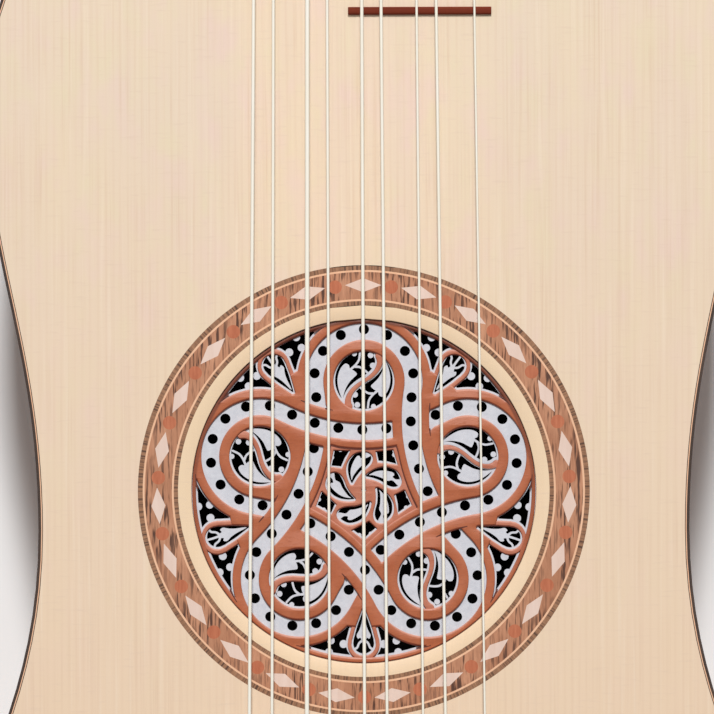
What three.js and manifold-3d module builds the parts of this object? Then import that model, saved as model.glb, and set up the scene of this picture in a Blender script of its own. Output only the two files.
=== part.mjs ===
// Baroque guitar with five courses of gut, lying on its flat back.
// Millimetres. +Y runs to the head, +X to the treble side, +Z out of the soundboard.
// The origin is on the outer face of the back, under the centre of the rose.

import * as THREE from 'three';
import { mergeVertices } from 'three/addons/utils/BufferGeometryUtils.js';
import Module from 'manifold-3d';

// Fits and counts
const gap = 0.3;
const overrun = 3;
const outlineSteps = 7;
const ringSteps = 40;
const windingSteps = 16;

// Body
const stringLength = 690;
const bridgeToRose = 183.5;
const bridgeToTail = 82;
const bridgeToNeckShare = 0.5261;
const bodyDepth = 90;
const lowerBoutWidth = 244;
const waistWidth = 168;
const upperBoutWidth = 196;
const neckFlatWidth = 60;
const outlineStationShares = [0, 0.237, 0.574, 0.821, 1];
const outlineReachShares = [[0.64, 0.588], [0.413, 0.413], [0.436, 0.364], [0.604, 0.382]];
const backThickness = 2.4;
const ribThickness = 2.4;
const soundboardThickness = 1.8;
const bindingWidth = 1.2;

// Rose and the inlaid ring round it
const roseOpeningRadius = 44.5;
const roseRimWidth = 3.45;
const innerPurflingWidth = 1.6;
const bandWidth = 7;
const outerPurflingWidth = 1.75;
const channelDepth = 1;
const inlayThickness = 0.7;
const inlayCount = 23;
const inlayLength = 9.4;
const inlayWidth = 3.6;
const dotDiameter = 3.5;
const inlayCircleShare = 0.511;
const traceryThickness = 1.2;
const parchmentThickness = 0.6;
const parchmentOverlap = 3;
const parchmentLip = 0.3;

// Rose pattern, as shares of the tracery's radius
const loopCount = 5;
const loopCentreShare = 0.639;
const loopOpeningShare = 0.178;
const loopOuterShare = 0.38;
const dividerWidthShare = 0.028;
const dividerShares = [[0.101, 0.136], [0.064, 0.027], [0, 0], [-0.064, -0.027], [-0.101, -0.136]];
const edgeReachShare = 0.351;
const edgeRadiusShare = 1.109;
const edgeWidthShare = 0.1;
const petalShares = [
  [-0.047, 0.076], [-0.02, 0.111], [0.009, 0.143], [0.035, 0.163], [0.048, 0.193], [0.026, 0.219],
  [-0.009, 0.228], [-0.05, 0.21], [-0.082, 0.172], [-0.095, 0.125], [-0.091, 0.082], [-0.072, 0.044],
];
const cornerShares = [
  [-0.173, 0.239], [-0.193, 0.152], [-0.152, 0.161], [-0.12, 0.154], [-0.105, 0.201], [-0.079, 0.241],
];
const tearShares = [[0.712, 0], [0.81, 0], [0.903, 0]];
const tearRadiusShares = [0.011, 0.035, 0.067];
const traceryLineShare = 0.024;
const spandrelInnerShare = 0.712;
const spandrelOuterShare = 0.98;

// Blocks and bars
const neckBlockLength = 40;
const tailBlockWidth = 70;
const tailBlockLength = 24;
const barWidth = 8;
const soundboardBarHeight = 18;
const backBarHeight = 12;
const soundboardBarShare = 0.12;
const backBarShares = [0.2, 0.45, 0.74];

// Neck, heel and fingerboard
const neckWidthAtBody = 61;
const neckWidthAtNut = 53;
const neckDepthAtBody = 19;
const neckDepthAtNut = 15.5;
const neckKeelWidth = 4;
const fingerboardThickness = 3;
const heelLength = 36;
const heelLift = 3;
const heelFootWidth = 18;
const heelShares = [
  [1, 0], [0.8, 0.05], [0.67, 0.14], [0.57, 0.3], [0.5, 0.53], [0.45, 0.8], [0.38, 1], [0, 1],
];
const sectionAngleShares = [0, 0.2, 0.4, 0.6, 0.8, 1];
const neckFullnessPower = 0.85;
const heelHollowPower = 5;

// Head
const headTilt = THREE.MathUtils.degToRad(12);
const headLength = 185;
const headWidth = 78;
const headThickness = 14;
const veneerThickness = 1.5;
const headDrop = 1.5;
const headShares = [
  [0.68, 0], [0.7, 0.035], [0.77, 0.075], [0.87, 0.1], [0.93, 0.14], [0.95, 0.2], [1, 0.86], [0.97, 0.9],
  [0.88, 0.91], [0.86, 0.93], [0.78, 0.958], [0.64, 0.962], [0.5, 0.94], [0.42, 0.935], [0.36, 0.955],
  [0.3, 0.982], [0.16, 1],
];

// Nut, bridge and its scroll ends
const nutThickness = 4.8;
const nutStringHeight = 2;
const nutShoulder = 0.6;
const bridgeWidth = 120;
const bridgeLength = 14;
const bridgeHeight = 9;
const bridgeStringHeight = 7;
const bridgeProfileShares = [[1, 0], [1, 0.24], [0.87, 0.34], [0.74, 0.4], [0.68, 0.62], [0.66, 1]];
const tieHoleClearance = 0.35;
const scrollLength = 36;
const scrollThickness = 1.6;
const scrollSteps = 8;
const scrollStrokes = [
  { spineShares: [[0, 0], [0.35, 0.02], [0.7, -0.01], [1, 0]], radiusShares: [0.15, 0.1, 0.06, 0.012] },
  {
    spineShares: [[0.06, 0.02], [0.22, 0.24], [0.46, 0.38], [0.68, 0.36], [0.76, 0.24], [0.66, 0.18]],
    radiusShares: [0.08, 0.075, 0.06, 0.045, 0.045, 0.05],
  },
  {
    spineShares: [[0.06, -0.02], [0.22, -0.24], [0.46, -0.38], [0.68, -0.36], [0.76, -0.24], [0.66, -0.18]],
    radiusShares: [0.08, 0.075, 0.06, 0.045, 0.045, 0.05],
  },
];

// Strings, from the bass side to the treble side
const stringNames = ['5a', '5b', '4a', '4b', '3a', '3b', '2a', '2b', '1'];
const nutSpreadShares = [-1, -0.854, -0.518, -0.373, -0.015, 0.116, 0.481, 0.626, 1];
const bridgeSpreadShares = [-1, -0.8, -0.51, -0.309, -0.023, 0.179, 0.474, 0.672, 1];
const thickestString = 1.05;
const stringGaugeShares = [0.81, 0.71, 1, 0.62, 0.81, 0.74, 0.59, 0.71, 0.52];
const spreadAtNut = 49;
const spreadAtBridge = 63;
const stringsAsideAtBridge = 0.8;
const stringStub = 1.5;
const windingTurns = 2.25;
const windingHeight = 3.3;
const windingSpace = 0.5;
const stringSides = 5;

// Frets
const tiedFretDiameter = 1;
const tiedFretCount = 9;
const neckFretCount = 11;
const lastFret = 14;
const woodenFretLength = 2;
const woodenFretHeight = 1.1;
const woodenFretInset = 1;
const woodenFretShares = [[-0.5, 0], [0.5, 0], [0.5, 0.55], [0.28, 1], [-0.28, 1], [-0.5, 0.55]];
const shortFretShares = [[-0.13, 1.08], [-0.6, 1.06], [-1, 1.03]];
const octaveSteps = 12;

// Pegs: the place of each peg in its column is counted from the nut
const pegColumnOffset = 28;
const firstPegDistance = 32;
const pegPitch = 29;
const pegNoseRadius = 3.4;
const pegRootRadius = 4;
const pegProjection = 10;
const pegCollarRadius = 5.2;
const pegCollarLength = 2.6;
const pegHandleLength = 24;
const pegHandleWidth = 21.6;
const pegHandleThickness = 6.4;
const pegSides = 8;
const pegHandleShares = [
  [0.06, 0.27, 0.9], [0.2, 0.4, 0.8], [0.4, 0.8, 0.95], [0.64, 1, 1], [0.88, 0.84, 0.85], [1, 0.45, 0.5],
];
const pegTurnShares = [0.04, -0.09, 0.16, 0.02, -0.14, 0.11, -0.05, 0.2, -0.02];

// End button
const buttonShaftRadius = 3.6;
const buttonShaftLength = 18;
const buttonRadius = 7;
const buttonLength = 13;
const buttonSides = 10;
const buttonShares = [[1, 0.04], [1, 0.12], [0.62, 0.26], [0.55, 0.45], [0.8, 0.62], [1, 0.8], [0.92, 1]];

// Colour, roughness and metalness of each finish
const spruce = [0xebd3ba, 0.5, 0];
const walnut = [0xb07c5e, 0.45, 0];
const ribWood = [0x8a5a3c, 0.4, 0];
const dyedPear = [0x3a2a22, 0.45, 0];
const pear = [0xc87149, 0.5, 0];
const parchment = [0xdcdce4, 0.75, 0];
const lightInlay = [0xe6cdbd, 0.45, 0];
const bodyFretWood = [0x7d321e, 0.4, 0];
const gut = [0xf3ead2, 0.4, 0];
const ebony = [0x2b211c, 0.35, 0];
const bone = [0xefe6d0, 0.35, 0];
const plainPine = [0xd9bf98, 0.7, 0];

// Places that follow from the sizes
const tailY = -(bridgeToRose + bridgeToTail);
const neckJointY = stringLength * bridgeToNeckShare - bridgeToRose;
const bodyLength = neckJointY - tailY;
const nutY = stringLength - bridgeToRose;
const neckEndY = nutY + nutThickness;
const boardLowZ = bodyDepth - soundboardThickness;
const neckTopZ = bodyDepth - fingerboardThickness;
const channelLowZ = bodyDepth - channelDepth;
const bridgeBackY = -bridgeToRose - bridgeLength;
const bridgeStringZ = bodyDepth + bridgeStringHeight;
const nutStringZ = bodyDepth + nutStringHeight;
const headRootZ = bodyDepth - headDrop;
const headRootY = neckEndY + ((headRootZ - neckTopZ) * Math.sin(headTilt) + gap) / Math.cos(headTilt);
const headBackZ = -(veneerThickness + gap + headThickness);
const roseRadius = roseOpeningRadius - gap;
const sheetRadius = roseOpeningRadius + parchmentOverlap;
const channelInnerRadius = roseOpeningRadius + roseRimWidth;
const bandInnerRadius = channelInnerRadius + innerPurflingWidth;
const bandOuterRadius = bandInnerRadius + bandWidth;
const channelOuterRadius = bandOuterRadius + outerPurflingWidth;

const wasm = await Module();
wasm.setup();

// Adds the geometries' triangles into one mesh and merges the corners that they share
function joined(geometries) {
  const corners = geometries.flatMap((geometry) => {
    const loose = geometry.index ? geometry.toNonIndexed() : geometry;
    return Array.from(loose.attributes.position.array);
  });
  const geometry = new THREE.BufferGeometry();
  geometry.setAttribute('position', new THREE.Float32BufferAttribute(corners, 3));
  return mergeVertices(geometry);
}

// A closed mesh as a solid that can be cut and joined
function solid(geometry) {
  const closed = joined([geometry]);
  const mesh = new wasm.Mesh({
    numProp: 3,
    vertProperties: new Float32Array(closed.attributes.position.array),
    triVerts: new Uint32Array(closed.index.array),
  });
  return new wasm.Manifold(mesh);
}

// The surface of a solid as a mesh
function surface(shape) {
  const mesh = shape.getMesh();
  const geometry = new THREE.BufferGeometry();
  geometry.setAttribute('position', new THREE.BufferAttribute(new Float32Array(mesh.vertProperties), 3));
  geometry.setIndex(Array.from(mesh.triVerts));
  return geometry;
}

function polygon(points, holes = []) {
  const shape = new THREE.Shape(points.map(([x, y]) => new THREE.Vector2(x, y)));
  shape.holes = holes.map((hole) => new THREE.Path(hole.map(([x, y]) => new THREE.Vector2(x, y))));
  return shape;
}

function prism(points, low, high, holes = []) {
  const options = { depth: high - low, bevelEnabled: false, curveSegments: 1 };
  return new THREE.ExtrudeGeometry(polygon(points, holes), options).translate(0, 0, low);
}

const xAxis = new THREE.Vector3(1, 0, 0);
const yAxis = new THREE.Vector3(0, 1, 0);
const zAxis = new THREE.Vector3(0, 0, 1);
const lengthwise = new THREE.Matrix4().makeBasis(xAxis, zAxis, yAxis.clone().negate());
const crosswise = new THREE.Matrix4().makeBasis(yAxis, zAxis, xAxis);

// An outline drawn across the guitar in X and Z and drawn out along Y
function prismAlongY(points, low, high, holes = []) {
  return prism(points, -high, -low, holes).applyMatrix4(lengthwise);
}

// An outline drawn along the guitar in Y and Z and drawn out along X
function prismAlongX(points, low, high) {
  return prism(points, low, high).applyMatrix4(crosswise);
}

function circle(radius, steps = ringSteps, centre = [0, 0]) {
  const points = [];
  for (let step = 0; step < steps; step += 1) {
    const angle = (2 * Math.PI * step) / steps;
    points.push([centre[0] + radius * Math.cos(angle), centre[1] + radius * Math.sin(angle)]);
  }
  return points;
}

function turned(points, angle) {
  const [cosine, sine] = [Math.cos(angle), Math.sin(angle)];
  return points.map(([x, y]) => [x * cosine - y * sine, x * sine + y * cosine]);
}

function scaled(points, size) {
  return points.map(([x, y]) => [x * size, y * size]);
}

// Skin through rings of points, with a fan over each end
function loft(rings) {
  const corners = [];
  const count = rings[0].length;
  const middle = (ring) => {
    return ring.reduce((sum, point) => sum.add(point), new THREE.Vector3()).divideScalar(count);
  };
  const face = (...points) => points.forEach((point) => corners.push(point.x, point.y, point.z));
  rings.slice(1).forEach((ring, index) => {
    const before = rings[index];
    for (let side = 0; side < count; side += 1) {
      const next = (side + 1) % count;
      face(before[side], before[next], ring[next]);
      face(before[side], ring[next], ring[side]);
    }
  });
  const [first, last] = [rings[0], rings[rings.length - 1]];
  const [firstMiddle, lastMiddle] = [middle(first), middle(last)];
  for (let side = 0; side < count; side += 1) {
    const next = (side + 1) % count;
    face(firstMiddle, first[next], first[side]);
    face(lastMiddle, last[side], last[next]);
  }
  return facingOut(corners);
}

// Turns the triangles round where they enclose less than nothing
function facingOut(corners) {
  let volume = 0;
  for (let start = 0; start < corners.length; start += 9) {
    const a = new THREE.Vector3().fromArray(corners, start);
    const b = new THREE.Vector3().fromArray(corners, start + 3);
    const c = new THREE.Vector3().fromArray(corners, start + 6);
    volume += a.dot(b.cross(c));
  }
  const geometry = new THREE.BufferGeometry();
  geometry.setAttribute('position', new THREE.Float32BufferAttribute(corners, 3));
  const merged = mergeVertices(geometry);
  if (volume < 0) merged.index.array.reverse();
  return merged;
}

// Rings of a thread's section, carried along its path without twist
function threadRings(path, radius, sides, closed) {
  const last = path.length - 1;
  const along = path.map((point, index) => {
    const before = closed ? path[(index + last) % path.length] : path[Math.max(index - 1, 0)];
    const after = closed ? path[(index + 1) % path.length] : path[Math.min(index + 1, last)];
    const arriving = point.clone().sub(before).normalize();
    return after.clone().sub(point).normalize().add(arriving).normalize();
  });
  let normal = new THREE.Vector3().crossVectors(along[0], closed ? yAxis : xAxis).normalize();
  return path.map((point, index) => {
    normal = normal.clone().addScaledVector(along[index], -normal.dot(along[index])).normalize();
    const side = new THREE.Vector3().crossVectors(along[index], normal);
    return circle(radius, sides).map(([across, up]) => {
      return point.clone().addScaledVector(normal, across).addScaledVector(side, up);
    });
  });
}

// A closed loop of thread that lies in one plane across the neck
function hoop(path, radius, sides) {
  const rings = threadRings(path, radius, sides, true);
  const corners = [];
  rings.forEach((ring, index) => {
    const after = rings[(index + 1) % rings.length];
    for (let side = 0; side < sides; side += 1) {
      const next = (side + 1) % sides;
      [ring[side], ring[next], after[next], ring[side], after[next], after[side]].forEach((point) => {
        corners.push(point.x, point.y, point.z);
      });
    }
  });
  return facingOut(corners);
}

// Outline of a stroke that follows a smooth spine and swells from one radius to the next
function stroke(spine, radii, steps, capSteps = 2) {
  const curve = new THREE.SplineCurve(spine.map(([x, y]) => new THREE.Vector2(x, y)));
  const radiusAt = (share) => {
    const place = share * (radii.length - 1);
    const index = Math.min(Math.floor(place), radii.length - 2);
    return THREE.MathUtils.lerp(radii[index], radii[index + 1], place - index);
  };
  const rim = (share, angle) => {
    const point = curve.getPoint(share);
    const heading = curve.getTangent(share).angle() + angle;
    return [point.x + radiusAt(share) * Math.cos(heading), point.y + radiusAt(share) * Math.sin(heading)];
  };
  const shares = Array.from({ length: steps + 1 }, (unused, step) => step / steps);
  const turns = Array.from({ length: capSteps }, (unused, step) => (Math.PI * (step + 1)) / (capSteps + 1));
  return [
    ...shares.map((share) => rim(share, -Math.PI / 2)),
    ...turns.map((angle) => rim(1, angle - Math.PI / 2)),
    ...shares.reverse().map((share) => rim(share, Math.PI / 2)),
    ...turns.map((angle) => rim(0, angle + Math.PI / 2)),
  ];
}

// Direction of a cubic curve, exact at its ends
function headingOf(curve, share) {
  const left = 1 - share;
  const heading = curve.v1.clone().sub(curve.v0).multiplyScalar(left * left);
  heading.addScaledVector(curve.v2.clone().sub(curve.v1), 2 * left * share);
  heading.addScaledVector(curve.v3.clone().sub(curve.v2), share * share);
  return heading.normalize();
}

// Treble half of the body's outline from the tail to the neck, moved in by the inset
function halfOutline(inset) {
  const halfWidths = [0, lowerBoutWidth / 2, waistWidth / 2, upperBoutWidth / 2, neckFlatWidth / 2];
  const anchors = halfWidths.map((x, index) => {
    return new THREE.Vector2(x, tailY + bodyLength * outlineStationShares[index]);
  });
  const points = [];
  outlineReachShares.forEach(([leaveShare, arriveShare], index) => {
    const [from, to] = [anchors[index], anchors[index + 1]];
    const span = to.clone().sub(from);
    const across = (share) => new THREE.Vector2(span.x * share, 0);
    const upright = (share) => new THREE.Vector2(0, span.y * share);
    const leave = index === 0 ? across(leaveShare) : upright(leaveShare);
    const arrive = index === outlineReachShares.length - 1 ? across(arriveShare) : upright(arriveShare);
    const curve = new THREE.CubicBezierCurve(from, from.clone().add(leave), to.clone().sub(arrive), to);
    for (let step = index === 0 ? 0 : 1; step <= outlineSteps; step += 1) {
      const point = curve.getPoint(step / outlineSteps);
      const heading = headingOf(curve, step / outlineSteps);
      points.push([point.x - heading.y * inset, point.y + heading.x * inset]);
    }
  });
  points.push([0, neckJointY - inset]);
  return points;
}

const mirrored = (points) => points.map(([x, y]) => [-x, y]).reverse();

function bodyOutline(inset) {
  const treble = halfOutline(inset);
  return [...treble, ...mirrored(treble).slice(1, -1)];
}

// Half width between the ribs at a place along the body
function innerHalfWidth(y) {
  const points = halfOutline(ribThickness);
  const index = points.findIndex((point) => point[1] >= y);
  const [from, to] = [points[index - 1], points[index]];
  return THREE.MathUtils.mapLinear(y, from[1], to[1], from[0], to[0]);
}

// A plate whose top steps from one level to the next at each loop, with a hole inside the last loop
function terrace(loops, levels, low) {
  const flat = (outer, hole, level) => {
    return new THREE.ShapeGeometry(polygon(outer, [hole]), 1).translate(0, 0, level);
  };
  const faces = levels.map((level, index) => flat(loops[index], loops[index + 1], level));
  const under = flat(loops[0], loops[loops.length - 1], low);
  under.index.array.reverse();
  faces.push(under);
  const walls = [];
  const wall = (loop, outside, inside) => loop.forEach(([x, y], index) => {
    const [nextX, nextY] = loop[(index + 1) % loop.length];
    walls.push(x, y, outside, nextX, nextY, outside, nextX, nextY, inside);
    walls.push(x, y, outside, nextX, nextY, inside, x, y, inside);
  });
  loops.forEach((loop, index) => wall(loop, levels[index - 1] ?? low, levels[index] ?? low));
  const sides = new THREE.BufferGeometry();
  sides.setAttribute('position', new THREE.Float32BufferAttribute(walls, 3));
  const loose = faces.map((face) => {
    const plain = new THREE.BufferGeometry();
    plain.setAttribute('position', face.attributes.position);
    plain.setIndex(face.index);
    return plain;
  });
  return joined([...loose, sides]);
}

const guitar = new THREE.Group();

function add(name, geometry, [color, roughness, metalness], parent = guitar) {
  const material = new THREE.MeshStandardMaterial({ color, roughness, metalness });
  const mesh = new THREE.Mesh(geometry, material);
  mesh.name = name;
  parent.add(mesh);
  return mesh;
}

function addBody() {
  const boardOutline = bodyOutline(bindingWidth);
  const rings = [channelOuterRadius, channelInnerRadius, roseOpeningRadius].map((radius) => circle(radius));
  const levels = [bodyDepth, channelLowZ, bodyDepth];
  add('soundboard', terrace([boardOutline, ...rings], levels, boardLowZ), spruce);
  add('back', prism(boardOutline, 0, backThickness), ribWood);
  add('top_binding', prism(bodyOutline(0), boardLowZ, bodyDepth, [boardOutline]), dyedPear);
  add('back_binding', prism(bodyOutline(0), 0, backThickness, [boardOutline]), dyedPear);

  const ribOutline = [...halfOutline(0), ...halfOutline(ribThickness).reverse()];
  const drill = buttonDrill();
  const treble = solid(prism(ribOutline, backThickness, boardLowZ)).subtract(drill);
  const bass = solid(prism(mirrored(ribOutline), backThickness, boardLowZ)).subtract(drill);
  add('treble_rib', surface(treble), ribWood);
  add('bass_rib', surface(bass), ribWood);
}

// The bore for the end button, through both ribs and into the tail block
function buttonDrill() {
  const length = buttonShaftLength + gap + overrun;
  const radius = boreRadius(buttonShaftRadius, buttonSides);
  const bore = new THREE.CylinderGeometry(radius, radius, length, buttonSides);
  return solid(bore.translate(0, tailY - overrun + length / 2, bodyDepth / 2));
}

// Corner radius of a bore that clears a round piece by the gap at the middle of its flats
function boreRadius(radius, sides) {
  return (radius + gap) / Math.cos(Math.PI / sides);
}

function addBlocksAndBars() {
  const blockFace = neckJointY - ribThickness;
  const half = neckFlatWidth / 2;
  const neckBlock = [[-half, blockFace - neckBlockLength], [half, blockFace - neckBlockLength],
    [half, blockFace], [-half, blockFace]];
  add('neck_block', prism(neckBlock, backThickness, boardLowZ), plainPine);

  const inner = halfOutline(ribThickness);
  const edge = tailBlockWidth / 2;
  const beyond = inner.findIndex(([x]) => x > edge);
  const [from, to] = [inner[beyond - 1], inner[beyond]];
  const edgeY = THREE.MathUtils.mapLinear(edge, from[0], to[0], from[1], to[1]);
  const blockEndY = tailY + ribThickness + tailBlockLength;
  const halfBlock = [...inner.slice(0, beyond), [edge, edgeY], [edge, blockEndY]];
  const tailBlock = solid(prism([...halfBlock, ...mirrored(halfBlock.slice(1))], backThickness, boardLowZ));
  add('tail_block', surface(tailBlock.subtract(buttonDrill())), plainPine);

  const addBar = (name, middle, low, high) => {
    const [near, far] = [middle - barWidth / 2, middle + barWidth / 2];
    const reach = Math.min(innerHalfWidth(near), innerHalfWidth(far)) - gap;
    const bar = [[-reach, near], [reach, near], [reach, far], [-reach, far]];
    add(name, prism(bar, low, high), plainPine);
  };
  const besideRose = (edge) => {
    return THREE.MathUtils.lerp(sheetRadius + barWidth / 2, edge - barWidth / 2, soundboardBarShare);
  };
  const barLowZ = boardLowZ - soundboardBarHeight;
  addBar('soundboard_bar_1', -besideRose(bridgeToRose), barLowZ, boardLowZ);
  addBar('soundboard_bar_2', besideRose(blockFace - neckBlockLength), barLowZ, boardLowZ);
  backBarShares.forEach((share, index) => {
    addBar(`back_bar_${index + 1}`, tailY + bodyLength * share, backThickness, backThickness + backBarHeight);
  });
}

// An outline that runs leftwards round its inside, moved in by an even margin
function movedIn(points, margin) {
  return points.map(([x, y], index) => {
    const [lastX, lastY] = points[(index + points.length - 1) % points.length];
    const [nextX, nextY] = points[(index + 1) % points.length];
    const heading = new THREE.Vector2(nextX - lastX, nextY - lastY).normalize();
    return [x - heading.y * margin, y + heading.x * margin];
  });
}

// The round plate of the rose with its openings; the lip narrows every opening
function rosePlate(radius, low, high, lip, { spineSteps, capSteps, loopSteps, leaves }) {
  const line = traceryLineShare * roseRadius;
  const leaf = (spine, shares, extra) => {
    return stroke(spine, shares.map((share) => share * roseRadius + extra), spineSteps, capSteps);
  };
  const cutter = (points) => solid(prism(points, low - overrun, high + overrun));
  const web = (points) => solid(prism(points, low, high));
  const loopAngles = Array.from({ length: loopCount }, (unused, index) => {
    return Math.PI / 2 + (2 * Math.PI * index) / loopCount;
  });
  const loopAt = (size, angle, steps) => {
    const reach = loopCentreShare * roseRadius;
    return circle(size, steps, [reach * Math.cos(angle), reach * Math.sin(angle)]);
  };

  let spandrels = solid(prism(circle(spandrelOuterShare * roseRadius - lip), low - overrun, high + overrun,
    [circle(spandrelInnerShare * roseRadius + lip)]));
  loopAngles.forEach((angle) => {
    const band = loopAt(loopOuterShare * roseRadius + lip, angle, 2 * loopSteps);
    spandrels = spandrels.subtract(solid(prism(band, low - 2 * overrun, high + 2 * overrun)));
  });
  let plate = web(circle(radius)).subtract(spandrels);

  const leafAngles = leaves ? loopAngles : [];
  leafAngles.forEach((angle) => {
    const tearSpine = turned(scaled(tearShares, roseRadius), angle + Math.PI / loopCount);
    plate = plate.add(web(leaf(tearSpine, tearRadiusShares, line)));
    plate = plate.subtract(cutter(leaf(tearSpine, tearRadiusShares, 0)));
  });
  const middle = cutter(centreOutline(edgeWidthShare * roseRadius + lip));
  loopAngles.forEach((angle) => {
    const swing = angle - Math.PI / 2;
    const opening = (shares) => cutter(movedIn(turned(scaled(shares, roseRadius), swing), lip));
    plate = plate.subtract(opening(petalShares)).subtract(opening(cornerShares).intersect(middle));
    plate = plate.subtract(cutter(loopAt(loopOpeningShare * roseRadius - lip, angle, loopSteps)));
    const divider = turned(scaled(dividerShares, roseRadius), swing);
    const reach = loopCentreShare * roseRadius;
    const placed = divider.map(([x, y]) => [x + reach * Math.cos(angle), y + reach * Math.sin(angle)]);
    const width = (dividerWidthShare * roseRadius) / 2 + lip;
    plate = plate.add(web(stroke(placed, [width, width], spineSteps, 1)));
  });
  return surface(plate);
}

// The five-sided middle of the rose, bounded by the arcs of the knot's long edges
function centreOutline(clearance) {
  const edgeRadius = edgeRadiusShare * roseRadius;
  const centreDistance = edgeReachShare * roseRadius + edgeRadius;
  const stepsPerSide = 4;
  const points = [];
  for (let step = 0; step < loopCount * stepsPerSide; step += 1) {
    const lean = (2 * Math.PI * ((step % stepsPerSide) / stepsPerSide - 1 / 2)) / loopCount;
    const side = Math.floor(step / stepsPerSide);
    const angle = Math.PI / 2 + (2 * Math.PI * side) / loopCount + lean;
    const across = centreDistance * Math.sin(lean);
    const radius = centreDistance * Math.cos(lean) - Math.sqrt((edgeRadius + clearance) ** 2 - across ** 2);
    points.push([radius * Math.cos(angle), radius * Math.sin(angle)]);
  }
  return points;
}

function addRose() {
  const carved = { spineSteps: 3, capSteps: 2, loopSteps: 12, leaves: true };
  const punched = { spineSteps: 2, capSteps: 1, loopSteps: 8, leaves: false };
  add('rose_tracery', rosePlate(roseRadius, boardLowZ, boardLowZ + traceryThickness, 0, carved), pear);
  const sheetLowZ = boardLowZ - parchmentThickness;
  add('rose_parchment', rosePlate(sheetRadius, sheetLowZ, boardLowZ, parchmentLip, punched), parchment);

  const ring = (inner, outer, low) => prism(circle(outer), low, bodyDepth, [circle(inner)]);
  add('rosette_inner_line', ring(channelInnerRadius, bandInnerRadius, channelLowZ), dyedPear);
  add('rosette_outer_line', ring(bandOuterRadius, channelOuterRadius, channelLowZ), dyedPear);

  const inlayCircleRadius = bandInnerRadius + bandWidth * inlayCircleShare;
  const inlays = [];
  for (let index = 0; index < inlayCount; index += 1) {
    const angle = Math.PI / 2 + (2 * Math.PI * index) / inlayCount;
    const lozenge = [[inlayCircleRadius - inlayWidth / 2, 0], [inlayCircleRadius, -inlayLength / 2],
      [inlayCircleRadius + inlayWidth / 2, 0], [inlayCircleRadius, inlayLength / 2]];
    inlays.push(turned(lozenge, angle));
    inlays.push(turned(circle(dotDiameter / 2, 6, [inlayCircleRadius, 0]), angle + Math.PI / inlayCount));
  }
  const bandLowZ = bodyDepth - inlayThickness;
  const openings = [circle(bandInnerRadius), ...inlays];
  add('rosette_band', prism(circle(bandOuterRadius), bandLowZ, bodyDepth, openings), walnut);
  let inlaid = solid(prism(circle(bandOuterRadius), channelLowZ, bandLowZ, [circle(bandInnerRadius)]));
  inlays.forEach((outline) => {
    inlaid = inlaid.add(solid(prism(outline, (channelLowZ + bandLowZ) / 2, bodyDepth)));
  });
  add('rosette_inlays', surface(inlaid), lightInlay);
}

const neckHalfWidth = (y) => {
  return THREE.MathUtils.mapLinear(y, neckJointY, nutY, neckWidthAtBody / 2, neckWidthAtNut / 2);
};
const neckDepth = (y) => THREE.MathUtils.mapLinear(y, neckJointY, nutY, neckDepthAtBody, neckDepthAtNut);

// Section of the neck from its treble corner round the underside to its bass corner, in X and Z
function neckSection(halfWidth, depth, keel, power) {
  const treble = sectionAngleShares.map((share) => {
    const angle = (share * Math.PI) / 2;
    const bulge = Math.max(Math.cos(angle), 0) ** power;
    return [keel + (halfWidth - keel) * (share === 1 ? 0 : bulge), neckTopZ - depth * Math.sin(angle)];
  });
  return [...treble, ...mirrored(treble)];
}

function freeNeckSection(y, offset) {
  const half = neckHalfWidth(y) + offset;
  return neckSection(half, neckDepth(y) + offset, neckKeelWidth / 2, neckFullnessPower);
}

function addNeck() {
  const fullDepth = neckTopZ - heelLift;
  const rings = heelShares.map(([outShare, depthShare]) => {
    const y = neckJointY + heelLength * outShare;
    const depth = THREE.MathUtils.lerp(neckDepth(y), fullDepth, depthShare);
    const keel = THREE.MathUtils.lerp(neckKeelWidth, heelFootWidth, depthShare) / 2;
    const power = THREE.MathUtils.lerp(neckFullnessPower, heelHollowPower, depthShare);
    return neckSection(neckHalfWidth(y), depth, keel, power).map(([x, z]) => new THREE.Vector3(x, y, z));
  });
  rings.unshift(freeNeckSection(neckEndY, 0).map(([x, z]) => {
    const y = headRootY + ((z - headRootZ) * Math.sin(headTilt) - gap) / Math.cos(headTilt);
    return new THREE.Vector3(x, y, z);
  }));
  add('neck', loft(rings), ribWood);

  const board = [[-neckHalfWidth(neckJointY), neckJointY], [neckHalfWidth(neckJointY), neckJointY],
    [neckHalfWidth(nutY), nutY], [-neckHalfWidth(nutY), nutY]];
  add('fingerboard', prism(board, neckTopZ, bodyDepth), ebony);
}

function addTiedFret(number, y) {
  const offset = gap + tiedFretDiameter / 2;
  const section = freeNeckSection(y, offset);
  const top = bodyDepth + offset;
  const corner = neckHalfWidth(y) + offset;
  const path = [[corner, top], ...section, [-corner, top]].map(([x, z]) => new THREE.Vector3(x, y, z));
  add(`tied_fret_${number}`, hoop(path, tiedFretDiameter / 2, 4), gut);
}

function addWoodenFret(number, y) {
  const reach = neckHalfWidth(y) - woodenFretInset;
  const [lowShare, highShare] = shortFretShares[lastFret - number] ?? [-1, 1];
  const profile = woodenFretShares.map(([along, up]) => {
    return [y + along * woodenFretLength, bodyDepth + up * woodenFretHeight];
  });
  const wood = number > neckFretCount ? bodyFretWood : ebony;
  add(`wooden_fret_${number}`, prismAlongX(profile, reach * lowShare, reach * highShare), wood);
}

// Equal semitones from the nut: gut tied round the free neck, then wood glued on from the heel
function addFrets() {
  for (let number = 1; number <= lastFret; number += 1) {
    const y = nutY - stringLength * (1 - 2 ** (-number / octaveSteps));
    if (number <= tiedFretCount) addTiedFret(number, y);
    else addWoodenFret(number, y);
  }
}

const gauge = (index) => thickestString * stringGaugeShares[index];
const nutX = (index) => (nutSpreadShares[index] * spreadAtNut) / 2;
const bridgeX = (index) => stringsAsideAtBridge + (bridgeSpreadShares[index] * spreadAtBridge) / 2;

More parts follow.
